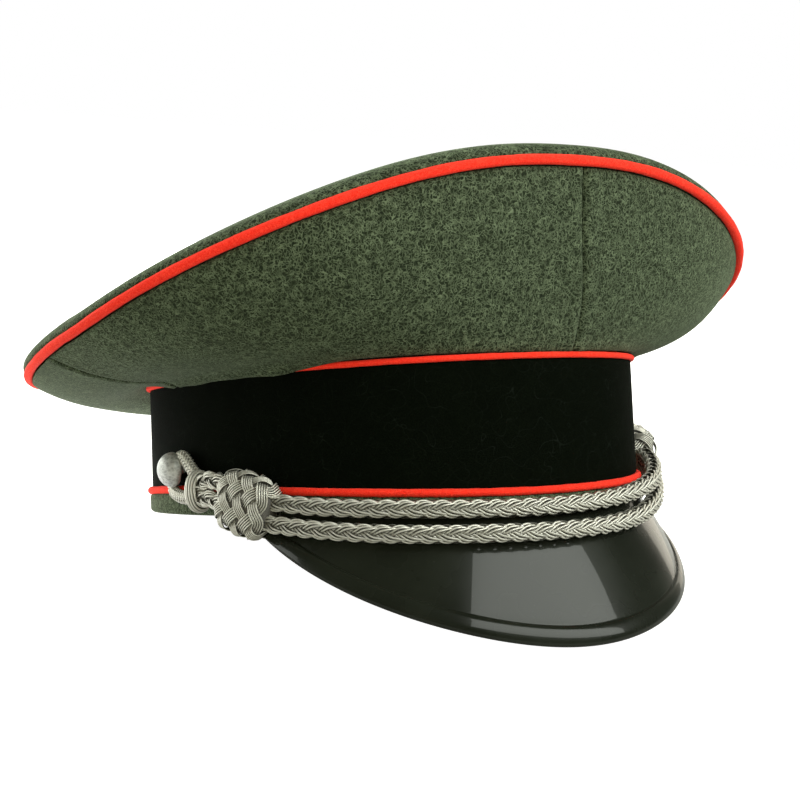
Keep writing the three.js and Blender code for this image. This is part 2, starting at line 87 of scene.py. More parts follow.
# padding is what the cloth adds to the radius of the cord inside it
LOWER_PIPING = {"radius": 1.1, "padding": 0.35, "inset": 1.1, "mid": 7.5, "side_rise": 2.0}
UPPER_PIPING = {"radius": 1.0, "padding": 0.1, "inset": 1.6, "mid": 49.7, "front_rise": 2.5}
CROWN_PIPING = {"radius": 1.8, "padding": 0.0, "proud": 0.3}
CROWN_EDGE = {
    "half_width": 137.8,
    "shift_back": -5.7,
    "front": (113.7, 2.34),  # reach and power of the front half, then of the back
    "back": (143.7, 2.06),
    "waves": (73.5, 33.2, 8.6, 0.9, 0.2, 0.8),  # cosine terms of the saddle's height
}
CROWN_TOP = {
    "puff": (14.5, 1.5, 1.8),
    "power": 6.0,
    "roll": (4.0, -3.0),
    "centre": 0.02,  # share at which the rings stop short of the middle
    "crowding": 1.7,  # how much the rings crowd towards the edge
    "tuck": (-1.1, 0.9),  # out and up from the crown's edge to where the cloth goes in
    "inner_tuck": (-2.6, 1.6),
    "fold_drop": 0.25,
    "doming": (1.06, 1.12),  # flat width and length over those of the domed panel
}
SIDE_BULGE = (6.4, -1.7, 0.8, -1.9, -1.1)
# how the cloth of the sides rolls in at its edges and swells beside its seams
SIDE_EDGES = {
    "slit": 0.12,
    "seam": 1.5,
    "head": 0.4,
    "foot": 0.7,
    "short": 0.6,  # reach of the roll at head and foot, as a share of that at a seam
    "swell": 0.25,
    "swell_at": 3.2,
    "swell_width": 2.2,
}
# where the cloth of the sides hangs over the upper piping, and how high each effect dies
OVERHANG = {
    "from": 44.0,
    "to": 118.0,
    "ramp": 20.0,
    "out": 2.5,
    "out_height": 5.0,
    "down": 0.9,
    "down_height": 3.0,
}
# turn at the foot, turn at the head and bow between them, in degrees
SEAMS = {
    "front": (-10.0, -1.5, 2.0),
    "right": (97.0, 97.0, 0.0),
    "back": (180.0, 180.0, 0.0),
    "left": (263.0, 263.0, 0.0),
    "front_again": (350.0, 358.5, 2.0),  # the front seam, one lap on
}
QUARTERS = {
    "crown_front_right": ("front", "right"),
    "crown_back_right": ("right", "back"),
    "crown_back_left": ("back", "left"),
    "crown_front_left": ("left", "front_again"),
}
PEAK = {
    "half_spread": 73.0,
    "cut_turn": 69.0,
    "reach": 20.0,
    "reach_power": 0.69,
    "drop": 49.0,
    "drop_power": 0.95,
    "run_out": 2.0,
    "belly": 1.6,
    "wall": 2.4,
    "bead_width": 7.0,
    "bead_share": 0.4,  # most of the face's length that the bead may take
    "tuck": 1.1,  # how far the top edge goes up behind the rim
    "tuck_share": 30.0,  # one over the share of the face in which it does
    "dip": 0.1,  # depth of the dip at the bead's foot
    "dip_face": 1.1,  # its reach up the face, and up the bead
    "dip_bead": 0.8,
    "unrolled": 110.0,  # length of the section, down the face and back up inside
}
CORD_RADIUS = 3.5
CORD_STEP = 0.62
CORD_CORE = {"radius": 1.75, "sides": 12}
# turn, then the height of the upper run and its distance out, then those of the lower
CORD_ROUTE = np.array(
    [
        (85.2, 10.6, 4.4, 8.0, 4.4),
        (81.5, 12.2, 5.4, 6.8, 5.4),
        (77.5, 13.2, 6.6, 6.4, 6.6),
        (68.0, 7.4, 7.2, -0.2, 7.2),
        (57.0, 4.0, 5.0, -3.4, 7.0),
        (47.0, 2.6, 4.0, -5.2, 7.2),
        (37.0, 1.8, 3.9, -6.4, 7.8),
        (20.0, 0.6, 3.9, -7.5, 8.4),
        (4.0, 0.2, 3.9, -8.0, 8.1),
        (-10.0, 0.7, 3.9, -7.6, 7.7),
        (-22.0, 2.1, 3.9, -6.1, 7.0),
        (-33.0, 4.3, 4.0, -3.1, 5.7),
        (-45.0, 7.5, 4.8, 1.5, 5.4),
        (-57.0, 12.4, 6.8, 6.7, 6.7),
        (-68.0, 16.8, 7.2, 9.9, 7.2),
        (-77.5, 16.8, 6.6, 9.2, 6.6),
        (-81.5, 14.8, 5.4, 9.6, 5.4),
        (-85.2, 13.0, 4.4, 10.4, 4.4),
    ]
)
SLIDE_KNOT = {
    "length": 25.0,
    "height": 22.5,
    "depth": 14.0,
    "turn": 67.8,
    "tilt": 18.0,
    "power": 0.62,
    "out": 7.5,
}
SMALL_KNOT = {
    "length": 8.4,
    "height": 14.6,
    "depth": 9.6,
    "turn": 84.0,
    "tilt": 0.0,
    "power": 0.9,
    "out": 4.8,
}
# Weaving. spacing: distance between threads; reach: how far they lean towards the ends;
# lift and sink: how far they rise and dive, and lie deeper than the block; step: length
# between their points; core_shrink: how far the core lies inside the block.
SLIDE_WEAVE = {
    "leads": 7,
    "bights": 6,
    "threads": 5,
    "thread": 0.34,
    "spacing": 0.84,
    "reach": 54.0,
    "lift": 0.8,
    "sink": 1.0,
    "step": 0.62,
    "sides": 6,
    "core_shrink": 1.2,
}
SMALL_COIL = {
    "rounds": 6,
    "thread": 0.5,
    "reach": 44.0,
    "step": 0.4,
    "sides": 8,
    "core_shrink": 0.8,
}
# along from the button towards the front, up from its middle, out from the head oval
LOOP_ROUTE = np.array(
    [
        (20.0, -5.0, 2.4),
        (17.0, -2.8, 2.2),
        (12.5, 0.0, 1.9),
        (9.0, 2.7, 1.7),
        (5.5, 4.4, 1.4),
        (0.5, 4.0, 0.8),
        (-4.2, 1.2, 0.4),
        (-5.0, -3.0, 0.8),
        (-3.0, -7.4, 1.8),
        (3.0, -9.6, 2.5),
        (10.0, -10.2, 2.6),
        (17.0, -9.6, 2.8),
        (20.0, -9.2, 2.9),
    ]
)
BUTTON = {
    "radius": 6.5,
    "edge": 1.0,
    "dome": 5.6,
    "shank": 1.6,
    "rise": 3.6,
    "turn": 96.0,
    "pole": 0.02,  # radius of the small flat at each end
    "facets": 72,
}
# sign of the turn, height of the slide knot, of the small knot and of the button
SIDES = {"right": (1.0, 4.7, 9.2, 17.0), "left": (-1.0, 14.7, 11.6, 18.0)}
# Braids. strands: how many turn each way; over: how many a strand passes over at a time;
# pitch: length of one turn; threads, thread and spacing: how many lie side by side, their
# radius and distance; turned: start round the cord; slow: how much the turning slows on
# top; lift: share of the radius by which a strand rises and dives; lag: how much later a
# thread at the side of a strand dives; flat: depth over width.
CHIN_BRAID = {
    "radius": CORD_RADIUS,
    "strands": 4,
    "over": 2,
    "spacing": 1.16,
    "slow": 0.42,
    "lift": 0.28,
    "lag": 0.8,
    "flat": 1.0,
}
# columns of the route for each run, and where its braid starts round the cord
CHIN_RUNS = {
    "upper": {"columns": (0, 1, 2), "turned": 28.0},
    "lower": {"columns": (0, 3, 4), "turned": 24.0},
}
LOOP_BRAID = {
    "radius": 2.75,
    "strands": 4,
    "over": 1,
    "pitch": 6.6,
    "threads": 1,
    "thread": 0.58,
    "spacing": 1.0,
    "turned": 0.0,
    "slow": 0.0,
    "lift": 0.26,
    "lag": 0.0,
    "flat": 0.75,
}
LOOP_STEP = 0.22
THREAD_SIDES = 6

# ------------------------------------------------------------------ curves of the cap


def signed_power(value, power):
    """The size of each value raised to a power, with its sign kept."""
    return np.sign(value) * np.abs(value) ** power


def cosine_sum(terms, turn, share=1.0):
    """Sum over k of term k, times the share to the power k, times cos(k turn)."""
    return sum(term * share**k * np.cos(k * turn) for k, term in enumerate(terms))


def oval_plan(turn):
    """Head oval: half width (1 + egg cos t) sin t and half length cos t, both times
    1 + fullness (1 - cos 4t) / 2, with the front at -Y and the right at -X."""
    full = 1 + OVAL["fullness"] * (1 - np.cos(4 * turn)) / 2
    wide = OVAL["half_width"] * (1 + OVAL["egg"] * np.cos(turn))
    return np.stack([-wide * full * np.sin(turn), -OVAL["half_length"] * full * np.cos(turn)], -1)


def crown_plan(turn, scale=1.0, inset=0.0):
    """Crown's edge from above: two superellipse halves, half width and reach times
    sin t and cos t raised to 2 / power, the whole moved along Y."""
    ahead = np.cos(turn) > 0
    reach = np.where(ahead, CROWN_EDGE["front"][0], CROWN_EDGE["back"][0]) - inset
    power = 2 / np.where(ahead, CROWN_EDGE["front"][1], CROWN_EDGE["back"][1])
    x = -(CROWN_EDGE["half_width"] - inset) * signed_power(np.sin(turn), power) * scale
    y = CROWN_EDGE["shift_back"] - reach * signed_power(np.cos(turn), power) * scale
    return np.stack([x, y], -1)


def outward_of(plan, turn):
    """Unit vector square to a closed plan curve, from the difference of two points."""
    along = plan(turn + 0.002) - plan(turn - 0.002)
    along /= np.linalg.norm(along, axis=-1, keepdims=True)
    return np.stack([-along[..., 1], along[..., 0]], -1)


def raised(plan, height):
    """Plan points lifted to a height."""
    height = np.broadcast_to(height, plan.shape[:-1])
    return np.concatenate([plan, height[..., None]], -1)


def ring_point(turn, offset, height):
    """Head oval moved out along its own outward by an offset, at a height."""
    turn = np.asarray(turn, float)
    offset = np.broadcast_to(offset, turn.shape)[..., None]
    return raised(oval_plan(turn) + outward_of(oval_plan, turn) * offset, height)


def crown_edge(turn, outward=0.0, upward=0.0):
    """Crown's edge at the saddle's height, moved outward and upward."""
    turn = np.asarray(turn, float)
    outward = np.broadcast_to(outward, turn.shape)[..., None]
    plan = crown_plan(turn) + outward_of(crown_plan, turn) * outward
    return raised(plan, cosine_sum(CROWN_EDGE["waves"], turn) + upward)


def lower_height(turn):
    """Height of the lower piping: its middle less side rise times cos 2t."""
    return LOWER_PIPING["mid"] - LOWER_PIPING["side_rise"] * np.cos(2 * turn)


def upper_height(turn):
    """Height of the upper piping: its middle plus front rise times cos t."""
    return UPPER_PIPING["mid"] + UPPER_PIPING["front_rise"] * np.cos(turn)


def unit(vectors):
    """Vectors scaled to length one."""
    return vectors / np.linalg.norm(vectors, axis=-1, keepdims=True)


def walked(points, axis=0):
    """Length walked along a line of points, or along one axis of a grid of them."""
    steps = np.linalg.norm(np.diff(points, axis=axis), axis=-1)
    start = np.zeros_like(np.take(steps, [0], axis))
    return np.concatenate([start, np.cumsum(steps, axis)], axis)


def smooth_route(points, step):
    """Centripetal Catmull-Rom curve through the points, resampled at equal steps: each
    span is a Hermite cubic whose end slopes come from the spans on both sides."""
    ends = np.vstack([2 * points[0] - points[1], points, 2 * points[-1] - points[-2]])
    span = np.linalg.norm(np.diff(ends, axis=0), axis=1)[:, None] ** 0.5
    rise = np.diff(ends, axis=0) / span
    slope = rise[:-1] - (ends[2:] - ends[:-2]) / (span[:-1] + span[1:]) + rise[1:]
    per_span = 60
    t = np.linspace(0, 1, per_span, endpoint=False)[None, :, None]
    a, b = points[:-1, None], points[1:, None]
    width = span[1:-1, None]
    ma, mb = slope[:-1, None] * width, slope[1:, None] * width
    curve = (2 * t**3 - 3 * t**2 + 1) * a + (t**3 - 2 * t**2 + t) * ma
    curve += (3 * t**2 - 2 * t**3) * b + (t**3 - t**2) * mb
    curve = np.vstack([curve.reshape(-1, 3), points[-1:]])
    length = walked(curve)
    stations = np.linspace(0, length[-1], int(length[-1] / step) + 1)
    return np.stack([np.interp(stations, length, curve[:, k]) for k in range(3)], -1), stations


# ------------------------------------------------------------------ meshes


def grid_faces(rows, columns, closed_rows=False, closed_columns=False):
    """Quads of a grid of points, with the vertex and the UV corner of each."""
    i, j = np.meshgrid(
        np.arange(rows if closed_rows else rows - 1),
        np.arange(columns if closed_columns else columns - 1),
        indexing="ij",
    )
    i, j = i.ravel(), j.ravel()
    corners = [(i, j), (i, j + 1), (i + 1, j + 1), (i + 1, j)]
    vertex = np.stack([(a % rows) * columns + b % columns for a, b in corners], -1)
    wide = columns + closed_columns
    return vertex, np.stack([a * wide + b for a, b in corners], -1)


def fan_faces(ring, hub):
    """Triangles from each step of a closed ring of vertices to one hub vertex."""
    return np.stack([ring, np.roll(ring, -1), np.full(len(ring), hub)], -1)


def signed_volume(points, faces):
    """Six times the volume inside closed faces: a sum over triangles of the product of
    the first corner with the cross product of the other two."""
    total = 0.0
    for face in faces:
        for k in range(1, face.shape[1] - 1):
            a, b, c = points[face[:, 0]], points[face[:, k]], points[face[:, k + 1]]
            total += np.einsum("ij,ij->", a, np.cross(b, c))
    return total


def mesh_object(name, points, faces, corners=None, uv=None):
    """Mesh of a list of face arrays, turned so that its volume counts as positive."""
    flat = points.reshape(-1, 3)
    if signed_volume(flat, faces) < 0:
        faces = [face[:, ::-1] for face in faces]
        if corners is not None:
            corners = [corner[:, ::-1] for corner in corners]
    loops = np.concatenate([face.ravel() for face in faces])
    totals = np.concatenate([np.full(len(face), face.shape[1]) for face in faces])
    mesh = bpy.data.meshes.new(name)
    mesh.vertices.add(len(flat))
    mesh.vertices.foreach_set("co", to_world(flat).astype(np.float32).ravel())
    mesh.loops.add(len(loops))
    mesh.loops.foreach_set("vertex_index", loops.astype(np.int32))
    mesh.polygons.add(len(totals))
    starts = np.concatenate([[0], np.cumsum(totals)[:-1]])
    mesh.polygons.foreach_set("loop_start", starts.astype(np.int32))
    mesh.polygons.foreach_set("loop_total", totals.astype(np.int32))
    mesh.polygons.foreach_set("use_smooth", np.full(len(totals), True))
    if uv is not None:
        layer = mesh.uv_layers.new(name="UVMap")
        picked = np.concatenate([corner.ravel() for corner in corners])
        layer.data.foreach_set("uv", uv.reshape(-1, 2)[picked].astype(np.float32).ravel())
    mesh.update(calc_edges=True)
    mesh.validate()
    piece = bpy.data.objects.new(name, mesh)
    bpy.context.scene.collection.objects.link(piece)
    return piece


def shell(name, outer, inner, uv):
    """Closed slab between an outer and an inner grid of points of the same shape."""
    rows, columns = outer.shape[:2]
    count = rows * columns
    faces, corners = grid_faces(rows, columns)
    top, left = np.arange(columns), np.arange(rows) * columns
    right, bottom = left + columns - 1, count - 1 - top
    border = np.concatenate([top, right[1:], bottom[1:], left[::-1][1:]])
    a, b = border[:-1], border[1:]
    rim = np.stack([b, a, a + count, b + count], -1)
    points = np.concatenate([outer.reshape(-1, 3), inner.reshape(-1, 3)])
    return mesh_object(
        name,
        points,
        [faces, faces[:, ::-1] + count, rim],
        [corners, corners[:, ::-1] + count, rim],
        np.concatenate([uv.reshape(-1, 2), uv.reshape(-1, 2)]),
    )


def tubes(name, centres, ups, radius, sides, closed):
    """Threads: round tubes carried along centre lines, one line per first index. The
    section's first axis is the line's side (tangent cross up) and its second the up
    direction; UV runs round the tube and along it in millimetres."""
    threads, stations = centres.shape[:2]
    if closed:
        along = np.roll(centres, -1, 1) - np.roll(centres, 1, 1)
    else:
        along = np.gradient(centres, axis=1)
    along = unit(along)
    side = unit(np.cross(along, ups))
    ups = np.cross(side, along)
    angle = 2 * np.pi * np.arange(sides) / sides
    ring = np.cos(angle)[:, None] * side[:, :, None] + np.sin(angle)[:, None] * ups[:, :, None]
    radius = np.broadcast_to(radius, (threads, stations))[:, :, None, None]
    points = centres[:, :, None] + radius * ring
    faces, corners = grid_faces(stations, sides, closed, True)
    rows = stations + closed
    step = np.linalg.norm(np.diff(centres, axis=1), axis=-1).mean()
    u = np.broadcast_to(np.arange(sides + 1) / sides, (threads, rows, sides + 1))
    v = np.broadcast_to((np.arange(rows) * step)[:, None], u.shape)
    thread = np.arange(threads)[:, None]
    first, first_mark = thread * stations * sides, thread * rows * (sides + 1)
    all_faces = [(faces + first[..., None]).reshape(-1, 4)]
    all_marks = [(corners + first_mark[..., None]).reshape(-1, 4)]
    if not closed:
        cap = np.arange(sides)
        last, last_mark = (stations - 1) * sides, (rows - 1) * (sides + 1)
        all_faces.append(np.concatenate([cap[::-1] + first, cap + first + last]))
        all_marks.append(np.concatenate([cap[::-1] + first_mark, cap + first_mark + last_mark]))
    return mesh_object(name, points, all_faces, all_marks, np.stack([u, v], -1))


def rounded_block(directions, size, power):
    """Superellipsoid: each part of a unit direction raised to a power, times the half
    sizes; its normal has the parts raised to 2 - power, over the half sizes."""
    half = np.array([size["length"], size["depth"], size["height"]]) / 2
    points = half * signed_power(directions, power)
    normals = unit(signed_power(directions, 2 - power) / half)
    return points, normals


def leaning(lean, around):
    """Unit directions that lean by one angle towards the local X axis and stand round
    it by another: (sin lean, cos lean cos around, cos lean sin around)."""
    lean, around = np.broadcast_arrays(lean, around)
    flat = np.cos(lean)
    return np.stack([np.sin(lean), flat * np.cos(around), flat * np.sin(around)], -1)


def block_mesh(name, size, shrink, place):
    """Closed superellipsoid a little smaller than a block, as the core of a knot."""
    rows, columns = 24, 48
    lean = np.pi / 2 - np.linspace(0, np.pi, rows + 2)[1:-1, None]
    around = 2 * np.pi * np.arange(columns)[None] / columns
    poles = np.array([[1.0, 0, 0], [-1.0, 0, 0]])
    directions = np.vstack([leaning(lean, around).reshape(-1, 3), poles])
    smaller = {key: size[key] - 2 * shrink for key in ("length", "height", "depth")}
    points, _ = rounded_block(directions, smaller, size["power"])
    faces, _ = grid_faces(rows, columns, False, True)
    count = rows * columns
    first = fan_faces(np.arange(columns), count)[:, ::-1]
    last = fan_faces(np.arange(count - columns, count), count + 1)
    return mesh_object(name, place(points), [faces, first, last])


def on_band(turn, standoff, height):
    """Function that carries points of a local frame to a place on the band: X along
    it, Y outward, Z up."""
    out = outward_of(oval_plan, np.array(turn))
    axes = np.array([[out[1], -out[0], 0], [out[0], out[1], 0], [0, 0, 1]])
    middle = ring_point(np.array(turn), standoff, height)
    return lambda points: middle + points @ axes


def tilted(points, angle):
    """Points turned about the local Y axis."""
    c, s = math.cos(angle), math.sin(angle)
    return points @ np.array([[c, 0, -s], [0, 1, 0], [s, 0, c]])


def plain_name(maker):
    """Name of what a function makes: the function's own, in words."""
    return maker.__name__.replace("_", " ").capitalize()


def finish_piece(piece, maker, node=None):
    """Gives a piece the material of a maker, found by the maker's own name or made once,
    lets the piece ride on the cap and hides the node that it replaces, if any."""
    piece.data.materials.append(bpy.data.materials.get(plain_name(maker)) or maker())
    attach(piece, BODY)
    if node:
        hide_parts(node)


# ------------------------------------------------------------------ shader building


class Wiring:
    """Adds nodes to a tree. Inputs are given by name or number, as values or sockets."""

    def __init__(self, tree):
        self.tree = tree

    def add(self, kind, settings=None, inputs=None):
        """Makes one node with its settings and inputs, and returns it."""
        node = self.tree.nodes.new(kind)
        for key, value in (settings or {}).items():
            setattr(node, key, value)
        for key, value in (inputs or {}).items():
            if isinstance(value, bpy.types.NodeSocket):
                self.tree.links.new(value, node.inputs[key])
            else:
                node.inputs[key].default_value = value
        return node

    def math(self, operation, a, b=0.0, c=0.0):
        """Result of one Math node."""
        node = self.add("ShaderNodeMath", {"operation": operation}, {0: a, 1: b, 2: c})
        return node.outputs[0]

    def vector(self, operation, a, b):
        """Result of one Vector Math node."""
        node = self.add("ShaderNodeVectorMath", {"operation": operation}, {0: a, 1: b})
        return node.outputs[0]

    def texture_place(self, space="Object"):
        """Where a point lies: its place on the object, or its place in the UV map."""
        return self.add("ShaderNodeTexCoord").outputs[space]

    def noise(self, vector, scale, detail=2.0, roughness=0.5, output="Fac"):
        """Noise texture's value, or its colour."""
        inputs = {"Vector": vector, "Scale": scale, "Detail": detail, "Roughness": roughness}
        return self.add("ShaderNodeTexNoise", None, inputs).outputs[output]

    def ramp(self, value, low, high, to_low=0.0, to_high=1.0):
        """Value mapped from one range to another, and held inside it."""
        inputs = {0: value, 1: low, 2: high, 3: to_low, 4: to_high}
        return self.add("ShaderNodeMapRange", {"clamp": True}, inputs).outputs[0]

    def blend(self, factor, a, b, share=1.0):
        """Colour mixed from two colours by a factor, or by a share of it."""
        if share != 1.0:
            factor = self.math("MULTIPLY", factor, share)
        node = self.add("ShaderNodeMix", {"data_type": "RGBA"}, {0: factor, 6: rgba(a), 7: rgba(b)})
        return node.outputs[2]

    def feed(self, shader, **sockets):
        """Links values that change over the surface to a shader's sockets."""
        for key, value in sockets.items():
            self.tree.links.new(value, shader.inputs[key.replace("_", " ")])


def rgba(colour):
    """Colour with a full alpha; a socket is passed on as it is."""
    if isinstance(colour, bpy.types.NodeSocket):
        return colour
    return (*colour[:3], 1.0)


def shader_group(name, inputs, outputs):
    """Empty node group with named float inputs (with defaults) and outputs, its wiring,
    its input sockets and its output node."""
    group = bpy.data.node_groups.new(name, "ShaderNodeTree")
    kind = "NodeSocketFloat"
    for label, default in inputs.items():
        socket = group.interface.new_socket(name=label, in_out="INPUT", socket_type=kind)
        socket.default_value = default
    for label in outputs:
        group.interface.new_socket(name=label, in_out="OUTPUT", socket_type=kind)
    given = group.nodes.new("NodeGroupInput").outputs
    return group, Wiring(group), given, group.nodes.new("NodeGroupOutput")


def curly_fibres():
    """Curly fibres of felted wool. The places are stirred by a coarse noise; a fibre is
    where a finer noise passes its middle value, so that it makes thin winding lines."""
    inputs = {"Fibre size": 0.001, "Curl": 0.6, "Thickness": 0.05}
    group, w, given, result = shader_group("Curly fibres", inputs, ["Mask", "Relief", "Mottle"])
    place = w.texture_place()
    scale = w.math("DIVIDE", 1.0, given["Fibre size"])
    stir = w.noise(place, w.math("MULTIPLY", scale, 0.45), 1.0, 0.5, "Color")
    stir = w.vector("SUBTRACT", stir, (0.5, 0.5, 0.5))
    reach = w.math("MULTIPLY", given["Curl"], given["Fibre size"])
    scaling = {"operation": "SCALE"}
    stir = w.add("ShaderNodeVectorMath", scaling, {0: stir, "Scale": reach}).outputs[0]
    stirred = w.vector("ADD", place, stir)
    mask = 0.0
    for finer, shift in ((0.5, 0.0), (0.8, 7.3), (1.2, 3.1)):
        moved = w.vector("ADD", stirred, (shift, shift * 0.37, 0.0))
        value = w.noise(moved, w.math("MULTIPLY", scale, finer), 1.0, 0.4)
        off = w.math("ABSOLUTE", w.math("SUBTRACT", value, 0.5))
        line = w.ramp(off, 0.0, w.math("MULTIPLY", given["Thickness"], finer), 1.0, 0.0)
        shown = w.ramp(w.noise(moved, w.math("MULTIPLY", scale, 0.6), 1.0), 0.25, 0.75)
        mask = w.math("MAXIMUM", w.math("MULTIPLY", line, shown), mask)
    grain = w.noise(stirred, w.math("MULTIPLY", scale, 1.7), 3.0, 0.65)
    mottle = w.noise(place, w.math("MULTIPLY", scale, 0.2), 4.0, 0.6)
    w.feed(result, Mask=mask, Relief=w.math("MULTIPLY_ADD", mask, 0.7, grain), Mottle=mottle)
    return group


def slow_drift():
    """Slow change over a surface: a coarse noise squeezed towards its middle."""
    group, w, given, result = shader_group("Slow drift", {"Patch size": 0.02}, ["Mask"])
    scale = w.math("DIVIDE", 1.0, given["Patch size"])
    w.feed(result, Mask=w.ramp(w.noise(w.texture_place(), scale, 3.0, 0.55), 0.3, 0.7))
    return group


def wound_thread():
    """Fine wire wound round a thread: a sine of the length along the thread plus the
    share of the way round it, a slow tarnish along the thread, and how near the
    surface is to the thread's outer side, a sine of the way round it, which sets
    where shade is painted down the thread's sides."""
    outputs = ["Mask", "Tarnish", "Crown"]
    group, w, given, result = shader_group("Wound thread", {"Pitch": 0.35}, outputs)
    uv = w.add("ShaderNodeSeparateXYZ", None, {0: w.texture_place("UV")})
    turns = w.math("ADD", uv.outputs[0], w.math("DIVIDE", uv.outputs[1], given["Pitch"]))
    wave = w.math("SINE", w.math("MULTIPLY", turns, 2 * math.pi))
    crown = w.math("SINE", w.math("MULTIPLY", uv.outputs[0], 2 * math.pi))
    w.feed(
        result,
        Mask=w.math("MULTIPLY_ADD", wave, 0.5, 0.5),
        Tarnish=w.noise(w.texture_place(), 420.0, 3.0, 0.6),
        Crown=w.math("MULTIPLY_ADD", crown, 0.5, 0.5),
    )
    return group


def new_material(name, **sockets):
    """Material with one Principled shader whose plain sockets are set directly."""
    material = bpy.data.materials.new(name)
    material.use_nodes = True
    shader = material.node_tree.nodes["Principled BSDF"]
    for key, value in sockets.items():
        shader.inputs[key.replace("_", " ")].default_value = value
    return material, Wiring(material.node_tree), shader


def use_group(w, maker, **inputs):
    """Places a maker's node group in a material with its own values, and gives its
    outputs. The maker runs the first time that its group is asked for."""
    group = bpy.data.node_groups.get(plain_name(maker)) or maker()
    given = {key.replace("_", " "): value for key, value in inputs.items()}
    return w.add("ShaderNodeGroup", {"node_tree": group}, given).outputs


def bump(w, height, strength, distance):
    """Normal that a height gives."""
    inputs = {"Height": height, "Strength": strength, "Distance": distance}
    return w.add("ShaderNodeBump", None, inputs).outputs[0]


def field_wool():
    """Melange wool felt: dark ground, mid grain and light curly fibres."""
    s = bpy.context.scene.cap_wool
    material, w, shader = new_material(
        "Field wool",
        Roughness=0.95,
        Specular_IOR_Level=0.1,
        Sheen_Weight=0.14,
        Sheen_Roughness=0.4,
        Sheen_Tint=(0.7, 0.88, 0.55, 1.0),
    )
    fibres = use_group(w, curly_fibres, Fibre_size=s.fibre_size, Curl=0.85, Thickness=0.06)
    drift = use_group(w, slow_drift, Patch_size=0.02)
    ground = w.blend(w.ramp(fibres["Relief"], 0.42, 0.95), s.dark, s.middle)
    ground = w.blend(w.ramp(fibres["Mottle"], 0.35, 0.7, 0.0, 0.2), ground, s.dark)
    colour = w.blend(fibres["Mask"], ground, s.light, 0.8)
    colour = w.blend(drift["Mask"], colour, s.dark, 0.15)
    w.feed(shader, Base_Color=colour, Normal=bump(w, fibres["Relief"], 0.6, 0.0004))
    return material


def red_wool():
    """Red piping cloth: bright face, darker between its fibres."""
    s = bpy.context.scene.cap_trim
    material, w, shader = new_material(
        "Red wool",
        Roughness=0.9,
        Specular_IOR_Level=0.15,
        Sheen_Weight=0.05,
        Sheen_Roughness=0.5,
        Sheen_Tint=(1.0, 0.6, 0.5, 1.0),
    )
    fibres = use_group(w, curly_fibres, Fibre_size=0.0008, Curl=0.7, Thickness=0.06)
    drift = use_group(w, slow_drift, Patch_size=0.006)
    colour = w.blend(w.ramp(fibres["Relief"], 0.3, 0.9), s.red_dark, s.red)
    colour = w.blend(drift["Mask"], colour, s.red_dark, 0.35)
    colour = w.blend(fibres["Mask"], colour, (1.0, 0.3, 0.2), 0.1)
    w.feed(shader, Base_Color=colour, Normal=bump(w, fibres["Relief"], 0.7, 0.0004))
    return material


def band_velvet():
    """Velvet: near-black pile with a faint sheen and a few caught fibres of lint."""
    s = bpy.context.scene.cap_trim
    material, w, shader = new_material(
        "Band velvet",
        Roughness=1.0,
        Specular_IOR_Level=0.03,
        Sheen_Weight=0.003,
        Sheen_Roughness=0.35,
        Sheen_Tint=(0.7, 0.9, 0.75, 1.0),
    )
    lint = use_group(w, curly_fibres, Fibre_size=0.009, Curl=0.5, Thickness=0.0035)
    drift = use_group(w, slow_drift, Patch_size=0.012)
    pile = w.noise(w.texture_place(), 2600.0)
    colour = w.blend(w.ramp(pile, 0.35, 0.65), s.velvet_dark, s.velvet)
    colour = w.blend(drift["Mask"], colour, s.velvet_dark, 0.5)
    colour = w.blend(lint["Mask"], colour, (0.05, 0.065, 0.055), 0.13)
    w.feed(shader, Base_Color=colour, Normal=bump(w, pile, 0.5, 0.0003))
    return material


def peak_gloss():
    """Black lacquer with a clear coat, a faint orange peel and fine dust."""
    s = bpy.context.scene.cap_peak
    material, w, shader = new_material(
        "Peak gloss", Coat_Weight=0.27, Coat_Roughness=0.03, Specular_IOR_Level=0.12
    )
    drift = use_group(w, slow_drift, Patch_size=0.025)
    place = w.texture_place()
    colour = w.blend(drift["Mask"], s.black, [1.5 * part for part in s.black])
    dust = w.ramp(w.noise(place, 1500.0), 0.72, 0.8)
    w.feed(
        shader,
        Base_Color=w.blend(dust, colour, (0.2, 0.2, 0.19), 0.15),
        Roughness=w.ramp(drift["Mask"], 0.0, 1.0, 0.22, 0.34),
        Normal=bump(w, w.noise(place, 320.0, 1.0), 0.035, 0.0004),
    )
    return material


def silver_braid():
    """Silver gimp: bright wound thread, darker in the winding and where it tarnishes, with shade
    painted down the sides of each thread.
    """
    s = bpy.context.scene.cap_cord
    material, w, shader = new_material("Silver braid", Metallic=0.75)
    thread = use_group(w, wound_thread, Pitch=s.winding / MM)
    colour = w.blend(w.ramp(thread["Mask"], 0.0, 0.8), s.shade, s.silver)
    colour = w.blend(w.ramp(thread["Tarnish"], 0.45, 0.75, 0.0, 0.5), colour, s.tarnish)
    w.feed(
        shader,
        # painted shade: the sides and underside of each thread are darkened by the Crown mask, where
        # its neighbours would shade it
        Base_Color=w.blend(w.ramp(thread["Crown"], 0.42, 0.92), s.groove, colour),
        Roughness=w.ramp(thread["Tarnish"], 0.3, 0.7, 0.34, 0.52),
        Normal=bump(w, thread["Mask"], 0.35, 0.0001),
    )
    return material


def cord_core():
    """Dark cotton core that shows only as shade between the threads."""
    material, w, shader = new_material("Cord core", Roughness=0.95)
    fibres = use_group(w, curly_fibres, Fibre_size=0.0006, Curl=0.5, Thickness=0.08)
    colour = w.blend(fibres["Relief"], (0.03, 0.029, 0.026), (0.11, 0.105, 0.095))
    w.feed(shader, Base_Color=colour, Normal=bump(w, fibres["Relief"], 0.5, 0.0002))
    return material


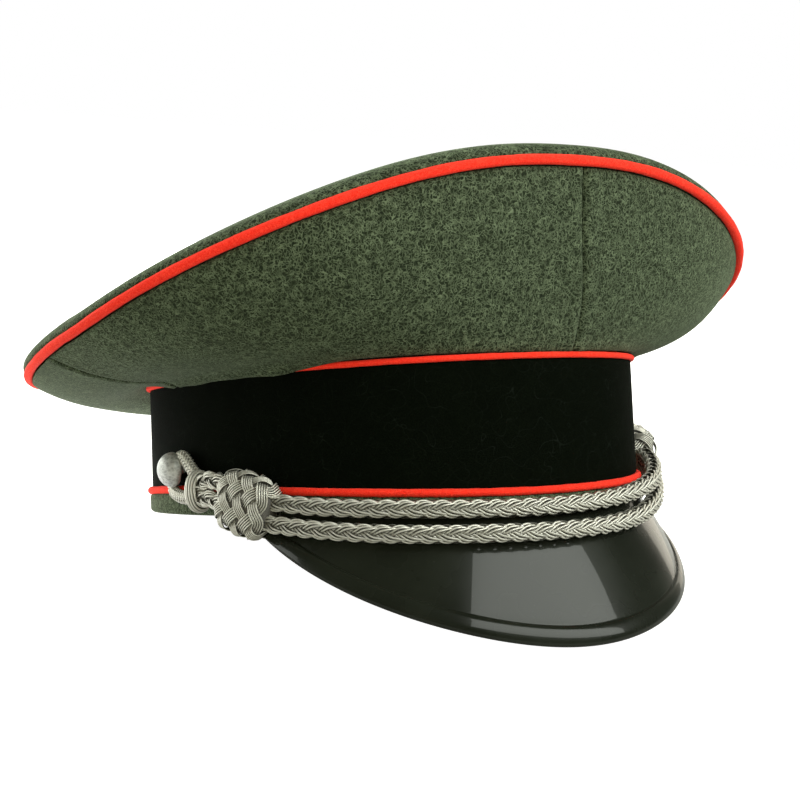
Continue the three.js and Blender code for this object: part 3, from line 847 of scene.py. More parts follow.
def button_metal():
    """Silver-coloured metal with a fine hammered grain and shade in its hollows."""
    material, w, shader = new_material("Button metal", Metallic=0.7)
    uv = w.texture_place("UV")
    cells = {"Vector": w.vector("MULTIPLY", uv, (34.0, 12.0, 1.0)), "Scale": 1.0}
    hammered = w.add("ShaderNodeTexVoronoi", None, cells).outputs["Distance"]
    streaks = w.noise(w.vector("MULTIPLY", uv, (70.0, 16.0, 1.0)), 1.0, 4.0, 0.65)
    height = w.math("MULTIPLY_ADD", hammered, 0.6, streaks)
    drift = use_group(w, slow_drift, Patch_size=0.003)
    colour = w.blend(w.ramp(height, 0.4, 1.0), (0.2, 0.205, 0.195), (0.66, 0.67, 0.65))
    w.feed(
        shader,
        Base_Color=w.blend(drift["Mask"], colour, (0.4, 0.41, 0.39), 0.25),
        Roughness=w.ramp(streaks, 0.3, 0.7, 0.42, 0.62),
        Normal=bump(w, height, 0.35, 0.0003),
    )
    return material


# ------------------------------------------------------------------ wool pieces


def edge_tuck(distance, reach, depth):
    """Depth by which cloth rolls in near its edge: a quarter round of the given reach."""
    share = np.clip(1 - distance / reach, 0, 1)
    return depth * (1 - np.sqrt(1 - share**2 * 0.999))


def ease(way):
    """Smooth step from 0 to 1."""
    way = np.clip(way, 0, 1)
    return way * way * (3 - 2 * way)


def soft_waves(turn, share, height):
    """Gentle unevenness of stretched cloth: three slow waves of turn and height."""
    wave = np.sin(3 * turn + 5 * share + 0.6) + 0.7 * np.sin(7 * turn - 4 * share + 2.1)
    return height * (wave + 0.4 * np.sin(15 * turn + 9 * share)) * np.sin(np.pi * np.clip(share, 0, 1))


def chord_shape(foot, head, bulge):
    """Foot, level reach, rise, length, level direction and bulge of a chord."""
    chord = head - foot
    reach = np.linalg.norm(chord[..., :2], axis=-1)
    level = raised(chord[..., :2] / reach[..., None], 0.0)
    return foot, reach, chord[..., 2], np.linalg.norm(chord, axis=-1), level, bulge


def side_chord(turn):
    """Chord of a side panel at each turn: its head lies just inside the crown piping,
    and its foot where it touches a round a gap larger than the upper piping."""
    head = crown_edge(turn, -2 * GAP, -(CROWN_PIPING["radius"] + GAP))
    piping = ring_point(turn, -UPPER_PIPING["inset"], upper_height(turn))
    bulge = cosine_sum(SIDE_BULGE, turn)
    start = side_normal(chord_shape(piping, head, bulge), np.zeros(turn.shape))
    return chord_shape(piping - start * (UPPER_PIPING["radius"] + GAP), head, bulge)


def side_normal(shape, share):
    """Outward normal of the bulged chord: the bulge is a parabola off the chord."""
    _, reach, rise, length, level, bulge = shape
    swell = bulge * 4 * (1 - 2 * share) / length
    normal = level * (rise - swell * reach)[..., None]
    normal[..., 2] = -(reach + swell * rise)
    return unit(normal)


def side_point(turn, share, depth):
    """Point of a side panel: the chord's share, moved out by the bulge parabola
    4 share (1 - share), less a depth along the normal."""
    shape = side_chord(turn)
    foot, reach, rise, length, level, bulge = shape
    belly = bulge * 4 * share * (1 - share) / length
    point = foot + level * (reach * share + belly * rise)[..., None]
    point[..., 2] = foot[..., 2] + rise * share - belly * reach
    normal = side_normal(shape, share)
    normal = unit(normal * (1 - share[..., None] ** 12) + level * share[..., None] ** 12)
    return point - normal * depth[..., None]


def seam_turn(seam, share):
    """Turn of a seam at a share of its height: from foot to head, with a bow."""
    foot, head, bow = SEAMS[seam]
    return np.radians(foot + (head - foot) * share + bow * 4 * share * (1 - share))


def crowded(way):
    """Way from 0 to 1 whose steps are shorter towards both ends: a blend of the plain
    way with a half cosine weighted by its own size."""
    turned = np.cos(np.pi * way)
    swept = 0.5 - 0.5 * turned * (0.35 + 0.65 * np.abs(turned))
    return np.clip(0.6 * swept + 0.4 * way, 0, 1)


def overhang(turn, from_foot):
    """How far the cloth hangs out and down over the upper piping: full between two
    turns on both sides of the cap, eased in and out, a little uneven, and dying with
    the height above the foot as a bell."""
    off = np.degrees(np.abs(np.mod(turn + np.pi, 2 * np.pi) - np.pi))
    hang = ease((off - OVERHANG["from"]) / OVERHANG["ramp"])
    hang = hang * ease((OVERHANG["to"] - off) / OVERHANG["ramp"])
    hang = hang * (1 + 0.07 * np.sin(13 * turn) + 0.04 * np.sin(29 * turn + 1))
    out = OVERHANG["out"] * hang * np.exp(-((from_foot / OVERHANG["out_height"]) ** 2))
    return out, OVERHANG["down"] * hang * np.exp(-((from_foot / OVERHANG["down_height"]) ** 2))


def grid_area(points):
    """Area of a grid of points: the sum of its cells, each taken as a parallelogram."""
    down, across = np.diff(points, axis=0)[:, :-1], np.diff(points, axis=1)[:-1]
    return np.linalg.norm(np.cross(down, across), axis=-1).sum()


def side_panel(name, from_seam, to_seam, cloth, tuck, wave):
    """Quarter of the crown's side: a grid of turn and height whose cloth rolls in at
    its edges and swells a little beside its seams, with a second grid a wall inside.
    Gives the piece, and its width, height and area before the cloth rolls in."""
    columns, rows = 120, 56
    share = np.linspace(0, 1, rows + 1)[:, None] * np.ones(columns + 1)
    start, end = seam_turn(from_seam, share), seam_turn(to_seam, share)
    slit = SIDE_EDGES["slit"] / OVAL["half_length"]
    turn = start + slit + (end - start - 2 * slit) * crowded(np.linspace(0, 1, columns + 1))
    surface = side_point(turn, share, np.zeros(share.shape))
    along, climbed = walked(surface, 1), walked(surface, 0)
    from_seam_line = np.minimum(along, along[:, -1:] - along)
    short = SIDE_EDGES["short"] * tuck
    depth = edge_tuck(from_seam_line, tuck, SIDE_EDGES["seam"])
    depth = np.maximum(depth, edge_tuck(climbed[-1:] - climbed, short, SIDE_EDGES["head"]))
    depth = np.maximum(depth, edge_tuck(climbed, short, SIDE_EDGES["foot"]))
    beside = (from_seam_line - SIDE_EDGES["swell_at"]) / SIDE_EDGES["swell_width"]
    swell = SIDE_EDGES["swell"] * np.exp(-(beside**2))
    out, down = overhang(turn, climbed)
    outer = side_point(turn, share, depth - swell - out - soft_waves(turn, share, wave))
    inner = side_point(turn, share, cloth - out)
    outer[..., 2] -= down
    inner[..., 2] -= down
    piece = shell(name, outer, inner, np.stack([along, climbed], -1) * MM)
    width, height = along[:, -1].max() * MM, climbed[-1].max() * MM
    return piece, width, height, grid_area(surface) * MM * MM


def top_point(turn, share, depth):
    """Point of the top panel: the saddle, raised by the puff times the rise
    sqrt(1 - share^power) and rolled out by sin(pi rise)."""
    rise = np.sqrt(np.maximum(0, 1 - share ** CROWN_TOP["power"]))
    puff = (cosine_sum(CROWN_TOP["puff"], turn, share) - depth) * rise
    roll = cosine_sum(CROWN_TOP["roll"], turn) * np.sin(np.pi * rise)
    plan = crown_plan(turn, share, depth)
    plan = plan + roll[..., None] * np.stack([-np.sin(turn), -np.cos(turn)], -1)
    return raised(plan, cosine_sum(CROWN_EDGE["waves"], turn, share) + puff)


def top_panel(name, cloth, wave):
    """Top of the crown: rings from its foot in the piping to the middle, a wall thick,
    closed by a centre point on each skin. The foot is where the rise clears the piping.
    Gives the piece and its area."""
    columns, rows = 240, 56
    turn = (2 * np.pi * np.arange(columns) / columns)[None] * np.ones((rows, 1))
    rise = (CROWN_PIPING["radius"] + GAP) / cosine_sum(CROWN_TOP["puff"], turn)
    foot = (1 - rise**2) ** (1 / CROWN_TOP["power"])
    way = np.linspace(0, 1, rows)[:, None] ** CROWN_TOP["crowding"]
    share = foot * (1 - way) + CROWN_TOP["centre"] * way
    outer = top_point(turn, share, np.zeros(share.shape))
    outer[..., 2] += soft_waves(turn, share, wave)
    inner = top_point(turn, share, np.full(share.shape, cloth))
    tuck = crown_edge(turn[:1], *CROWN_TOP["tuck"])
    fold = 0.5 * (tuck + outer[:1]) - np.array([0, 0, CROWN_TOP["fold_drop"]])
    outer = np.concatenate([tuck, fold, outer])
    inner_tuck = crown_edge(turn[:1], *CROWN_TOP["inner_tuck"])
    inner = np.concatenate([inner_tuck, 0.5 * (inner_tuck + inner[:1]), inner])
    count = outer.shape[0] * columns
    centres = np.stack([outer[-1].mean(0), inner[-1].mean(0)])
    points = np.concatenate([outer.reshape(-1, 3), inner.reshape(-1, 3), centres])
    faces, _ = grid_faces(outer.shape[0], columns, False, True)
    edge = np.arange(columns)
    crest = fan_faces(edge + count - columns, 2 * count)
    under = fan_faces(edge + 2 * count - columns, 2 * count + 1)[:, ::-1]
    following = np.roll(edge, -1)
    rim = np.stack([following, edge, edge + count, following + count], -1)
    piece = mesh_object(name, points, [faces, faces[:, ::-1] + count, rim, crest, under])
    return piece, grid_area(outer) * MM * MM


def piping_mesh(name, centre, radius, rows, sides, seed):
    """Cord covered in cloth: a round section carried round the cap, with uneven
    thickness from slow sines and a small seeded roughness."""
    turn = 2 * np.pi * np.arange(rows) / rows
    line = centre(turn)
    up = np.broadcast_to(np.array([0.0, 0.0, 1.0]), line.shape)
    rng = np.random.default_rng(seed)
    uneven = 1 + 0.025 * np.sin(23 * turn + seed) + 0.02 * np.sin(57 * turn + 2 * seed)
    uneven = uneven + 0.012 * rng.standard_normal(rows)
    return tubes(name, line[None], up[None], (radius * uneven)[None], sides, True)


def ring_section(wall, corner, levels):
    """Section of a ring with rounded corners: for each point its place across the wall,
    its share of the height, and its offset from that share, all in order round it."""
    q = np.linspace(0, np.pi / 2, 7)
    s = np.linspace(0, 1, levels)[1:-1]
    near, far = corner * (1 - np.cos(q)), corner * (1 - np.sin(q))
    parts = [
        (wall - far, 0 * q, near),
        (np.full(s.shape, wall), s, corner * (1 - 2 * s)),
        (wall - near, 1 + 0 * q, -far),
        (far, 1 + 0 * q, -near),
        (0 * s, s[::-1], corner * (2 * s - 1)),
        (near, 0 * q, far),
    ]
    return [np.concatenate([part[k] for part in parts])[None] for k in range(3)]


def cloth_ring(name, size, foot, head, outset):
    """Ring round the head oval with a rounded section: its outer face stands at
    outset(turn, share of the height) from the oval."""
    rows, levels, wall = 300, 26, size["wall"]
    turn = (2 * np.pi * np.arange(rows) / rows)[:, None]
    across, share, offset = ring_section(wall, size["corner"], levels)
    low, high = foot(turn), head(turn)
    height = low + share * (high - low) + offset
    turns = np.broadcast_to(turn, height.shape)
    out = across - wall + outset(turns, (height - low) / (high - low))
    points = ring_point(turns, out, height)
    around = np.linspace(0, 2 * np.pi, rows + 1)[:, None] * OVAL["half_width"]
    down = np.linspace(0, 1, share.size + 1)[None] * 2 * np.max(high - low)
    faces, corners = grid_faces(*points.shape[:2], True, True)
    uv = np.stack(np.broadcast_arrays(around, down), -1) * MM
    return mesh_object(name, points, [faces], [corners], uv)


# ------------------------------------------------------------------ peak


def peak_size(turn):
    """Reach and drop of the peak's edge: powers of cos of the share of its spread."""
    fade = np.cos(np.pi / 2 * np.abs(turn / rad(PEAK["half_spread"])))
    reach = PEAK["reach"] * fade ** PEAK["reach_power"]
    return reach, PEAK["drop"] * fade ** PEAK["drop_power"] - PEAK["run_out"]


def peak_point(turn, share, proud):
    """Point down the peak's face, bowed out by a parabola, proud along its normal. Its
    top edge is tucked up behind the rounded foot of the rim."""
    reach, drop = peak_size(turn)
    fall = drop - GAP
    tuck = PEAK["tuck"] * np.maximum(0, 1 - PEAK["tuck_share"] * share)
    swell = 4 * PEAK["belly"] / PEAK["drop"]
    out = reach * share + swell * share * (1 - share) * drop
    down = fall * share - swell * share * (1 - share) * reach
    slope_out = reach + swell * (1 - 2 * share) * drop
    slope_down = fall - swell * (1 - 2 * share) * reach
    slope = np.hypot(slope_out, slope_down)
    offset = out + proud * slope_down / slope - RIM["inset"]
    return ring_point(turn, offset, tuck - GAP - down + proud * slope_out / slope)


def peak_mesh(name, bead_rise):
    """Peak: rows run down the face, over the bead and back up inside. The bead's section
    is a half ellipse over the face that goes on round the edge as a half ellipse as deep
    as the wall; a shallow dip marks its foot."""
    end = rad(PEAK["cut_turn"])
    columns = 210
    way = np.linspace(-1, 1, columns)
    turn = -end * (0.35 * np.sin(np.pi / 2 * way) + 0.65 * way)
    length = np.hypot(*peak_size(turn))
    bead = np.minimum(PEAK["bead_width"], length * PEAK["bead_share"])
    rise = bead_rise * bead / PEAK["bead_width"]
    foot = 1 - bead / length
    face = np.linspace(0, 1, 40)[:, None] ** 0.85 * foot[None]
    sweep = np.pi * np.linspace(0, 1, 41)[1:, None]
    around = foot + (1 - np.cos(sweep)) / 2 * bead / length
    lifted = np.sin(sweep) ** 0.9 * rise
    edge = np.linspace(0, np.pi / 2, 12)[1:, None]
    under = 1 - (1 - np.cos(edge)) / 2 * bead / length
    sunk = -PEAK["wall"] * np.sin(edge)
    back = np.linspace(1, 0, 30)[1:, None] * (1 - bead / length / 2)
    share = np.concatenate([face, around, under, back])
    above, below = (foot - face) * length, (around - foot) * length
    skin = [
        -PEAK["dip"] * np.exp(-((above / PEAK["dip_face"]) ** 2)),
        lifted - PEAK["dip"] * np.exp(-((below / PEAK["dip_bead"]) ** 2)),
        sunk + 0 * under,
        np.full(back.shape, -PEAK["wall"]),
    ]
    loop = peak_point(np.broadcast_to(turn, share.shape), share, np.concatenate(skin))
    rows = loop.shape[0]
    faces, corners = grid_faces(rows, columns, True, False)
    ends = np.arange(rows)[None] * columns
    around_rim = turn * OVAL["half_length"]
    down = np.linspace(0, PEAK["unrolled"], rows + 1)[:, None]
    uv = np.stack(np.broadcast_arrays(around_rim, down), -1) * MM
    caps = [ends[:, ::-1], ends + columns - 1]
    return mesh_object(name, loop, [faces, *caps], [corners, *caps], uv)


# ------------------------------------------------------------------ braid and knots


def cord_line(columns):
    """Centre line of one run of the chin cord, from its columns of the route, with the
    length at each point and the outward and up directions there."""
    turns, heights, offsets = CORD_ROUTE[:, columns].T
    line, stations = smooth_route(ring_point(np.radians(turns), offsets, heights), CORD_STEP)
    along = unit(np.gradient(line, axis=0))
    out = unit(np.cross(along, [0.0, 0.0, 1.0]))
    return line, stations, out, np.cross(out, along)


def round_braid(line, stations, out, up, braid):
    """Strands plaited round a line, n turning one way and n the other, with angle
    2 pi (k / n + s / pitch), slowed on top so that the lobes lie along the cord. A strand
    stands in or out by a cosine of n / over times the angle 2 pi s / pitch, and top is
    where along the line it first stands out. Each strand is a few threads side by side,
    spread on top and drawn together where it dives, and a thread dives later the further
    it lies aside, along the edge of the strand that covers it."""
    ways, pitch = braid["strands"], braid["pitch"]
    lift = braid["lift"] * braid["radius"]
    middle = braid["radius"] - lift - braid["thread"]
    wave = 2 * np.pi * ways / (pitch * braid["over"])
    shifts = (np.arange(braid["threads"]) - (braid["threads"] - 1) / 2) * braid["spacing"]
    centres, ups = [], []
    for way, k in itertools.product((1, -1), range(ways)):
        if braid["over"] == 1:
            top = (1 - way) / 4 * pitch / ways
        else:
            top = (1 - way / 2 - 2 * way * k) / 2 * pitch / ways
        swing = wave * (stations - top)
        angle = way * (2 * np.pi * stations / pitch - braid["slow"] * np.sin(swing))
        angle = angle + 2 * np.pi / ways * k + braid["turned"]
        outward = np.cos(angle)[:, None] * out * braid["flat"] + np.sin(angle)[:, None] * up
        radial = unit(outward)
        for shift in shifts:
            lifted = middle + lift * np.cos(swing - wave * way * braid["lag"] * shift)
            path = line + outward * lifted[:, None]
            side = unit(np.cross(unit(np.gradient(path, axis=0)), radial))
            aside = (shift * (0.86 + 0.14 * np.cos(swing)))[:, None]
            sink = -(aside**2) / (2 * (middle + lift))
            centres.append(path + side * aside + radial * sink)
            ups.append(radial)
    return np.stack(centres), np.stack(ups)


def even_angle(share, size, line):
    """Angle at a share of the length of one of a rounded block's lines, which is given
    as the angles along it and the directions there."""
    angles, directions = line
    length = walked(rounded_block(directions, size, size["power"])[0])
    return np.interp(share, length / length[-1], angles)


def turks_head(size, weave):
    """Turk's head round a rounded block. One strand goes round the block once for each
    lead while it swings from end to end once for each bight; passes cross where
    (m / bights + n / leads) / 2 is the way along, and lie over and under by turns."""
    leads, bights, threads = weave["leads"], weave["bights"], weave["threads"]
    crossings = np.arange(2 * bights)[:, None] / bights + np.arange(1, leads)[None] / leads
    crossings = np.sort(np.mod(crossings.ravel() / 2, 1))
    lap, swing_length = 2.4 * (size["height"] + size["depth"]), 2 * size["length"]
    count = int((leads * lap + bights * swing_length) / weave["step"])
    t = np.arange(count) / count
    order = np.arange(len(crossings) + 2) - 1
    padded = np.concatenate([[crossings[-1] - 1], crossings, [crossings[0] + 1]])
    over = np.cos(np.pi * np.interp(t, padded, order))
    samples = 721
    lean = np.linspace(-rad(weave["reach"]), rad(weave["reach"]), samples)
    turn = np.linspace(0, 2 * np.pi, samples)
    pointed = 0.96  # the swing is a triangle wave whose points are a little rounded
    sway = np.arcsin(pointed * np.cos(2 * np.pi * bights * t)) / np.arcsin(pointed)
    swing = even_angle(0.5 + 0.5 * sway, size, (lean, leaning(lean, 0)))
    around = even_angle(np.mod(leads * t, 1), size, (turn, leaning(0, turn)))
    base, normal = rounded_block(leaning(swing, around), size, size["power"])
    ahead = unit(np.roll(base, -1, 0) - np.roll(base, 1, 0))
    side = unit(np.cross(ahead, normal))
    aside = (np.arange(threads) - (threads - 1) / 2) * weave["spacing"]
    rise = (weave["lift"] * over - weave["sink"])[:, None]
    centres = base + side * aside[:, None, None] + normal * rise
    return centres, np.broadcast_to(normal, centres.shape)


def wound_ring(size, coil):
    """Coil round a rounded block: one thread goes round it a number of times while it
    leans from one end to the other, from behind to behind."""
    lap = 1.7 * (size["height"] + size["depth"])
    t = np.linspace(0, 1, int(coil["rounds"] * lap / coil["step"]))
    around = 2 * np.pi * coil["rounds"] * t - np.pi / 2
    directions = leaning(rad(coil["reach"]) * (2 * t - 1), around)
    base, normal = rounded_block(directions, size, size["power"])
    return base[None], normal[None]


def tie_knot(kind, side, size, weave, height, strands, closed):
    """Strands of a knot, carried to its side of the cap and its height, round a core a
    little smaller than its block."""
    sign = SIDES[side][0]
    on_side = on_band(rad(sign * size["turn"]), size["out"], height)

    def place(points):
        """Points of the knot, tilted and carried to the band."""
        return on_side(tilted(points, -sign * rad(size["tilt"])))

    centres, ups = strands
    ups = place(ups) - place(np.zeros(3))
    section = (weave["thread"], weave["sides"], closed)
    piece = tubes(f"weave_{kind}_{side}", place(centres), ups, *section)
    finish_piece(piece, silver_braid, f"{kind}_{side}")
    core = block_mesh(f"core_{kind}_{side}", size, weave["core_shrink"], place)
    finish_piece(core, cord_core)


def button_profile():
    """Radius and height of a button's outline, from the foot of the shank over the
    rolled rim, a quarter circle, to the dome, a quarter ellipse."""
    shank, edge, rise = BUTTON["shank"], BUTTON["edge"], BUTTON["rise"]
    roll = np.linspace(-np.pi / 2, 0, 8)
    q = np.linspace(0, np.pi / 2, 22)[1:]
    radius = [
        [BUTTON["pole"]],
        np.full(4, shank),
        BUTTON["radius"] - edge + edge * np.cos(roll),
        BUTTON["radius"] * np.cos(q),
    ]
    height = [
        [0.0, 0.0, 0.3, 2.5, rise - 0.05],  # the shank stands straight
        rise + edge * (1 + np.sin(roll)),
        rise + edge + BUTTON["dome"] * np.sin(q),
    ]
    radius, height = np.concatenate(radius), np.concatenate(height)
    radius[-1] = BUTTON["pole"]
    return radius, height


def button_mesh(name, side):
    """Button: its outline turned about its axis, with a small flat at each end."""
    facets = BUTTON["facets"]
    radius, height = button_profile()
    angle = 2 * np.pi * np.arange(facets) / facets
    radius, height = radius[:, None], height[:, None]
    points = [radius * np.cos(angle), height, radius * np.sin(angle)]
    points = np.stack(np.broadcast_arrays(*points), -1).reshape(-1, 3)
    rows = len(radius)
    faces, corners = grid_faces(rows, facets, False, True)
    u, v = np.linspace(0, 1, facets + 1), np.linspace(0, 1, rows)[:, None]
    uv = np.stack(np.broadcast_arrays(u, v), -1)
    disc = np.arange(facets)[None]
    caps = [disc[:, ::-1], disc + (rows - 1) * facets]
    marks = [disc[:, ::-1], disc + (rows - 1) * (facets + 1)]
    sign, _, _, up = SIDES[side]
    place = on_band(rad(sign * BUTTON["turn"]), GAP - BAND["foot_inset"], up)
    return mesh_object(name, place(points), [faces, *caps], [corners, *marks], uv)


# ------------------------------------------------------------------ settings


def colour_setting(name, default, description):
    """Colour property in linear red, green and blue."""
    return FloatVectorProperty(
        name=name,
        default=default,
        description=description,
        subtype="COLOR",
        size=3,
        min=0.0,
        max=1.0,
    )


def amount_setting(name, default, description):
    """Plain amount, from zero up."""
    return FloatProperty(name=name, default=default, description=description, min=0.0)


def length_setting(name, default, description):
    """Length property in metres."""
    return FloatProperty(name=name, default=default, description=description, unit="LENGTH", min=0.0)


class CapWoolSettings(bpy.types.PropertyGroup):
    """Cloth of the crown and the rim."""

    cloth: length_setting("Cloth", CLOTH * MM, "Thickness of the wool panels")
    tuck: length_setting("Edge roll", 0.0024, "How far from a seam the cloth starts to roll in")
    wave: length_setting("Waves", 0.00022, "Height of the slow unevenness of the stretched cloth")
    fibre_size: length_setting("Fibre size", 0.0014, "Size of the curls of the felted fibres")
    dark: colour_setting("Dark fibres", (0.0085, 0.0122, 0.0064), "Ground of the melange")
    middle: colour_setting("Middle fibres", (0.042, 0.0575, 0.0295), "Commonest fibres")
    light: colour_setting("Light fibres", (0.178, 0.226, 0.14), "Pale fibres on the surface")


class CapTrimSettings(bpy.types.PropertyGroup):
    """Pipings and velvet."""

    red: colour_setting("Red", (1.0, 0.04, 0.017), "Face of the piping cloth")
    red_dark: colour_setting("Dark red", (0.8, 0.016, 0.007), "Depth of the piping cloth")
    velvet: colour_setting("Velvet", (0.0024, 0.0038, 0.0018), "Tips of the pile")
    velvet_dark: colour_setting("Dark velvet", (0.0008, 0.0014, 0.0006), "Depth of the pile")


class CapPeakSettings(bpy.types.PropertyGroup):
    """Lacquered peak."""

    bead: length_setting("Bead", 0.0013, "Height of the bead along the peak's edge")
    black: colour_setting("Black", (0.008, 0.0095, 0.0065), "Colour under the lacquer")


class CapCordSettings(bpy.types.PropertyGroup):
    """Silver chin cord, knots and loops."""

    pitch: length_setting("Pitch", 0.0246, "Length in which a strand goes once round the cord")
    thread: length_setting("Thread radius", 0.00048, "Radius of one wound thread of the cord")
    threads: IntProperty(
        name="Threads", default=3, min=1, max=4, description="Threads side by side in a strand"
    )
    winding: length_setting("Winding", 0.00024, "Distance between the turns of the winding wire")
    silver: colour_setting("Silver", (0.79, 0.775, 0.7), "Bright face of the thread")
    shade: colour_setting("Shade", (0.5, 0.49, 0.43), "Between the turns of the winding")
    tarnish: colour_setting("Tarnish", (0.5, 0.485, 0.4), "Dulled places")
    # painted shade down the sides of each thread, where its neighbours would shade it
    groove: colour_setting("Groove", (0.06, 0.058, 0.046), "Dirt down the sides of a thread")


class CapStageSettings(bpy.types.PropertyGroup):
    """Floor, light and camera."""

    floor: colour_setting("Floor", (0.45, 0.45, 0.44), "Plain pale floor")
    floor_glow: amount_setting("Floor glow", 0.05, "Light that the floor adds")
    floor_seen: amount_setting("Floor lift", 1.0, "Paleness that the floor shows")
    fill: amount_setting("Fill", 0.12, "Brightness of the light from all round")
    gloss_fill: amount_setting("Gloss fill", 0.05, "The same in reflections")
    lens: FloatProperty(name="Lens", default=84.54, min=1.0, unit="CAMERA", description="Focal length")


SETTINGS = {
    "cap_wool": CapWoolSettings,
    "cap_trim": CapTrimSettings,
    "cap_peak": CapPeakSettings,
    "cap_cord": CapCordSettings,
    "cap_stage": CapStageSettings,
}


# ------------------------------------------------------------------ operators


class CAP_OT_crown(bpy.types.Operator):
    """Makes the top panel and the four side panels of the crown"""

    bl_idname = "cap.build_crown"
    bl_label = "Crown"

    def execute(self, context):
        s = context.scene.cap_wool
        cloth, tuck, wave = s.cloth / MM, s.tuck / MM, s.wave / MM
        for name, seams in QUARTERS.items():
            piece, width, height, area = side_panel(f"wool_{name}", *seams, cloth, tuck, wave)
            finish_piece(piece, field_wool, name)
        piece, area = top_panel("wool_crown_top", cloth, wave)
        finish_piece(piece, field_wool, "crown_top")
        return {"FINISHED"}


class CAP_OT_pipings(bpy.types.Operator):
    """Makes the three red pipings"""

    bl_idname = "cap.build_pipings"
    bl_label = "Pipings"

    def execute(self, context):
        def crown(turn):
            """Middle of the crown piping: a little outside the crown's edge."""
            return crown_edge(turn, CROWN_PIPING["proud"])

        def upper(turn):
            """Middle of the upper piping, an inset inside the head oval."""
            return ring_point(turn, -UPPER_PIPING["inset"], upper_height(turn))

        def lower(turn):
            """Middle of the lower piping, an inset inside the head oval."""
            return ring_point(turn, -LOWER_PIPING["inset"], lower_height(turn))

        # centre line, sizes, points along and round it, seed of its unevenness
        pipings = {
            "crown_piping": (crown, CROWN_PIPING, 1100, 14, 1),
            "upper_band_piping": (upper, UPPER_PIPING, 800, 12, 2),
            "lower_band_piping": (lower, LOWER_PIPING, 800, 12, 3),
        }
        for name, (centre, size, rows, sides, seed) in pipings.items():
            radius = size["radius"] + size["padding"]
            piece = piping_mesh(f"wool_{name}", centre, radius, rows, sides, seed)
            finish_piece(piece, red_wool, name)
        return {"FINISHED"}


class CAP_OT_band(bpy.types.Operator):
    """Makes the velvet band and the wool rim below it"""

    bl_idname = "cap.build_band"
    bl_label = "Band and rim"

    def execute(self, context):
        drawn_in = BAND["head_inset"] - BAND["foot_inset"]
        velvet = cloth_ring(
            "velvet_band",
            BAND,
            lambda t: lower_height(t) + LOWER_PIPING["radius"] + BAND["lap"],
            lambda t: upper_height(t) - UPPER_PIPING["radius"] + BAND["lap"],
            lambda t, share: -BAND["foot_inset"] - drawn_in * share,
        )
        finish_piece(velvet, band_velvet, "band")
        binding = cloth_ring(
            "wool_rim_binding",
            RIM,
            lambda t: 0 * t,
            lambda t: lower_height(t) - LOWER_PIPING["radius"] - RIM["slack"],
            lambda t, share: -RIM["inset"] + RIM["wave"] * np.sin(9 * t) * share * (1 - share),
        )
        finish_piece(binding, field_wool, "rim_binding")
        return {"FINISHED"}


class CAP_OT_peak(bpy.types.Operator):
    """Makes the lacquered peak with its bead"""

    bl_idname = "cap.build_peak"
    bl_label = "Peak"

    def execute(self, context):
        piece = peak_mesh("lacquered_peak", context.scene.cap_peak.bead / MM)
        finish_piece(piece, peak_gloss, "peak")
        return {"FINISHED"}


class CAP_OT_chin_cord(bpy.types.Operator):
    """Plaits the two runs of the silver chin cord"""

    bl_idname = "cap.build_chin_cord"
    bl_label = "Chin cord"

    def execute(self, context):
        s = context.scene.cap_cord
        own = {"pitch": s.pitch / MM, "threads": s.threads, "thread": s.thread / MM}
        for run, shape in CHIN_RUNS.items():
            line, stations, out, up = cord_line(shape["columns"])
            braid = {**CHIN_BRAID, **own, "turned": rad(shape["turned"])}
            centres, ups = round_braid(line, stations, out, up, braid)
            section = (own["thread"], THREAD_SIDES, False)
            piece = tubes(f"braid_chin_cord_{run}", centres, ups, *section)
            finish_piece(piece, silver_braid, f"chin_cord_{run}")
            section = (CORD_CORE["radius"], CORD_CORE["sides"], False)
            core = tubes(f"core_chin_cord_{run}", line[None], up[None], *section)
            finish_piece(core, cord_core)
        return {"FINISHED"}


class CAP_OT_slide_knots(bpy.types.Operator):
    """Weaves the two large slide knots"""

    bl_idname = "cap.build_slide_knots"
    bl_label = "Slide knots"

    def execute(self, context):
        for side, (_, height, _, _) in SIDES.items():
            strands = turks_head(SLIDE_KNOT, SLIDE_WEAVE)
            tie_knot("slide_knot", side, SLIDE_KNOT, SLIDE_WEAVE, height, strands, True)
        return {"FINISHED"}


class CAP_OT_small_knots(bpy.types.Operator):
    """Weaves the two small knots beside the buttons"""

    bl_idname = "cap.build_small_knots"
    bl_label = "Small knots"

    def execute(self, context):
        for side, (_, _, height, _) in SIDES.items():
            strands = wound_ring(SMALL_KNOT, SMALL_COIL)
            tie_knot("small_knot", side, SMALL_KNOT, SMALL_COIL, height, strands, False)
        return {"FINISHED"}


class CAP_OT_loops(bpy.types.Operator):
    """Plaits the flat loops behind the buttons"""

    bl_idname = "cap.build_loops"
    bl_label = "Button loops"

    def execute(self, context):
        for side, (sign, _, _, height) in SIDES.items():
            turns = sign * (rad(BUTTON["turn"]) - LOOP_ROUTE[:, 0] / OVAL["half_length"])
            points = ring_point(turns, LOOP_ROUTE[:, 2], height + LOOP_ROUTE[:, 1])
            line, stations = smooth_route(points, LOOP_STEP)
            middle = np.array([0.0, 0.0, height])
            out = unit((line - middle) * np.array([1.0, 1.0, 0.0]))
            up = np.cross(out, unit(np.gradient(line, axis=0)))
            centres, ups = round_braid(line, stations, out, up, LOOP_BRAID)
            section = (LOOP_BRAID["thread"], THREAD_SIDES, False)
            piece = tubes(f"plait_cord_loop_{side}", centres, ups, *section)
            finish_piece(piece, silver_braid, f"cord_loop_{side}")
        return {"FINISHED"}


class CAP_OT_buttons(bpy.types.Operator):
    """Turns the two domed side buttons"""

    bl_idname = "cap.build_buttons"
    bl_label = "Buttons"

    def execute(self, context):
        for side in SIDES:
            piece = button_mesh(f"domed_button_{side}", side)
            finish_piece(piece, button_metal, f"button_{side}")
        return {"FINISHED"}


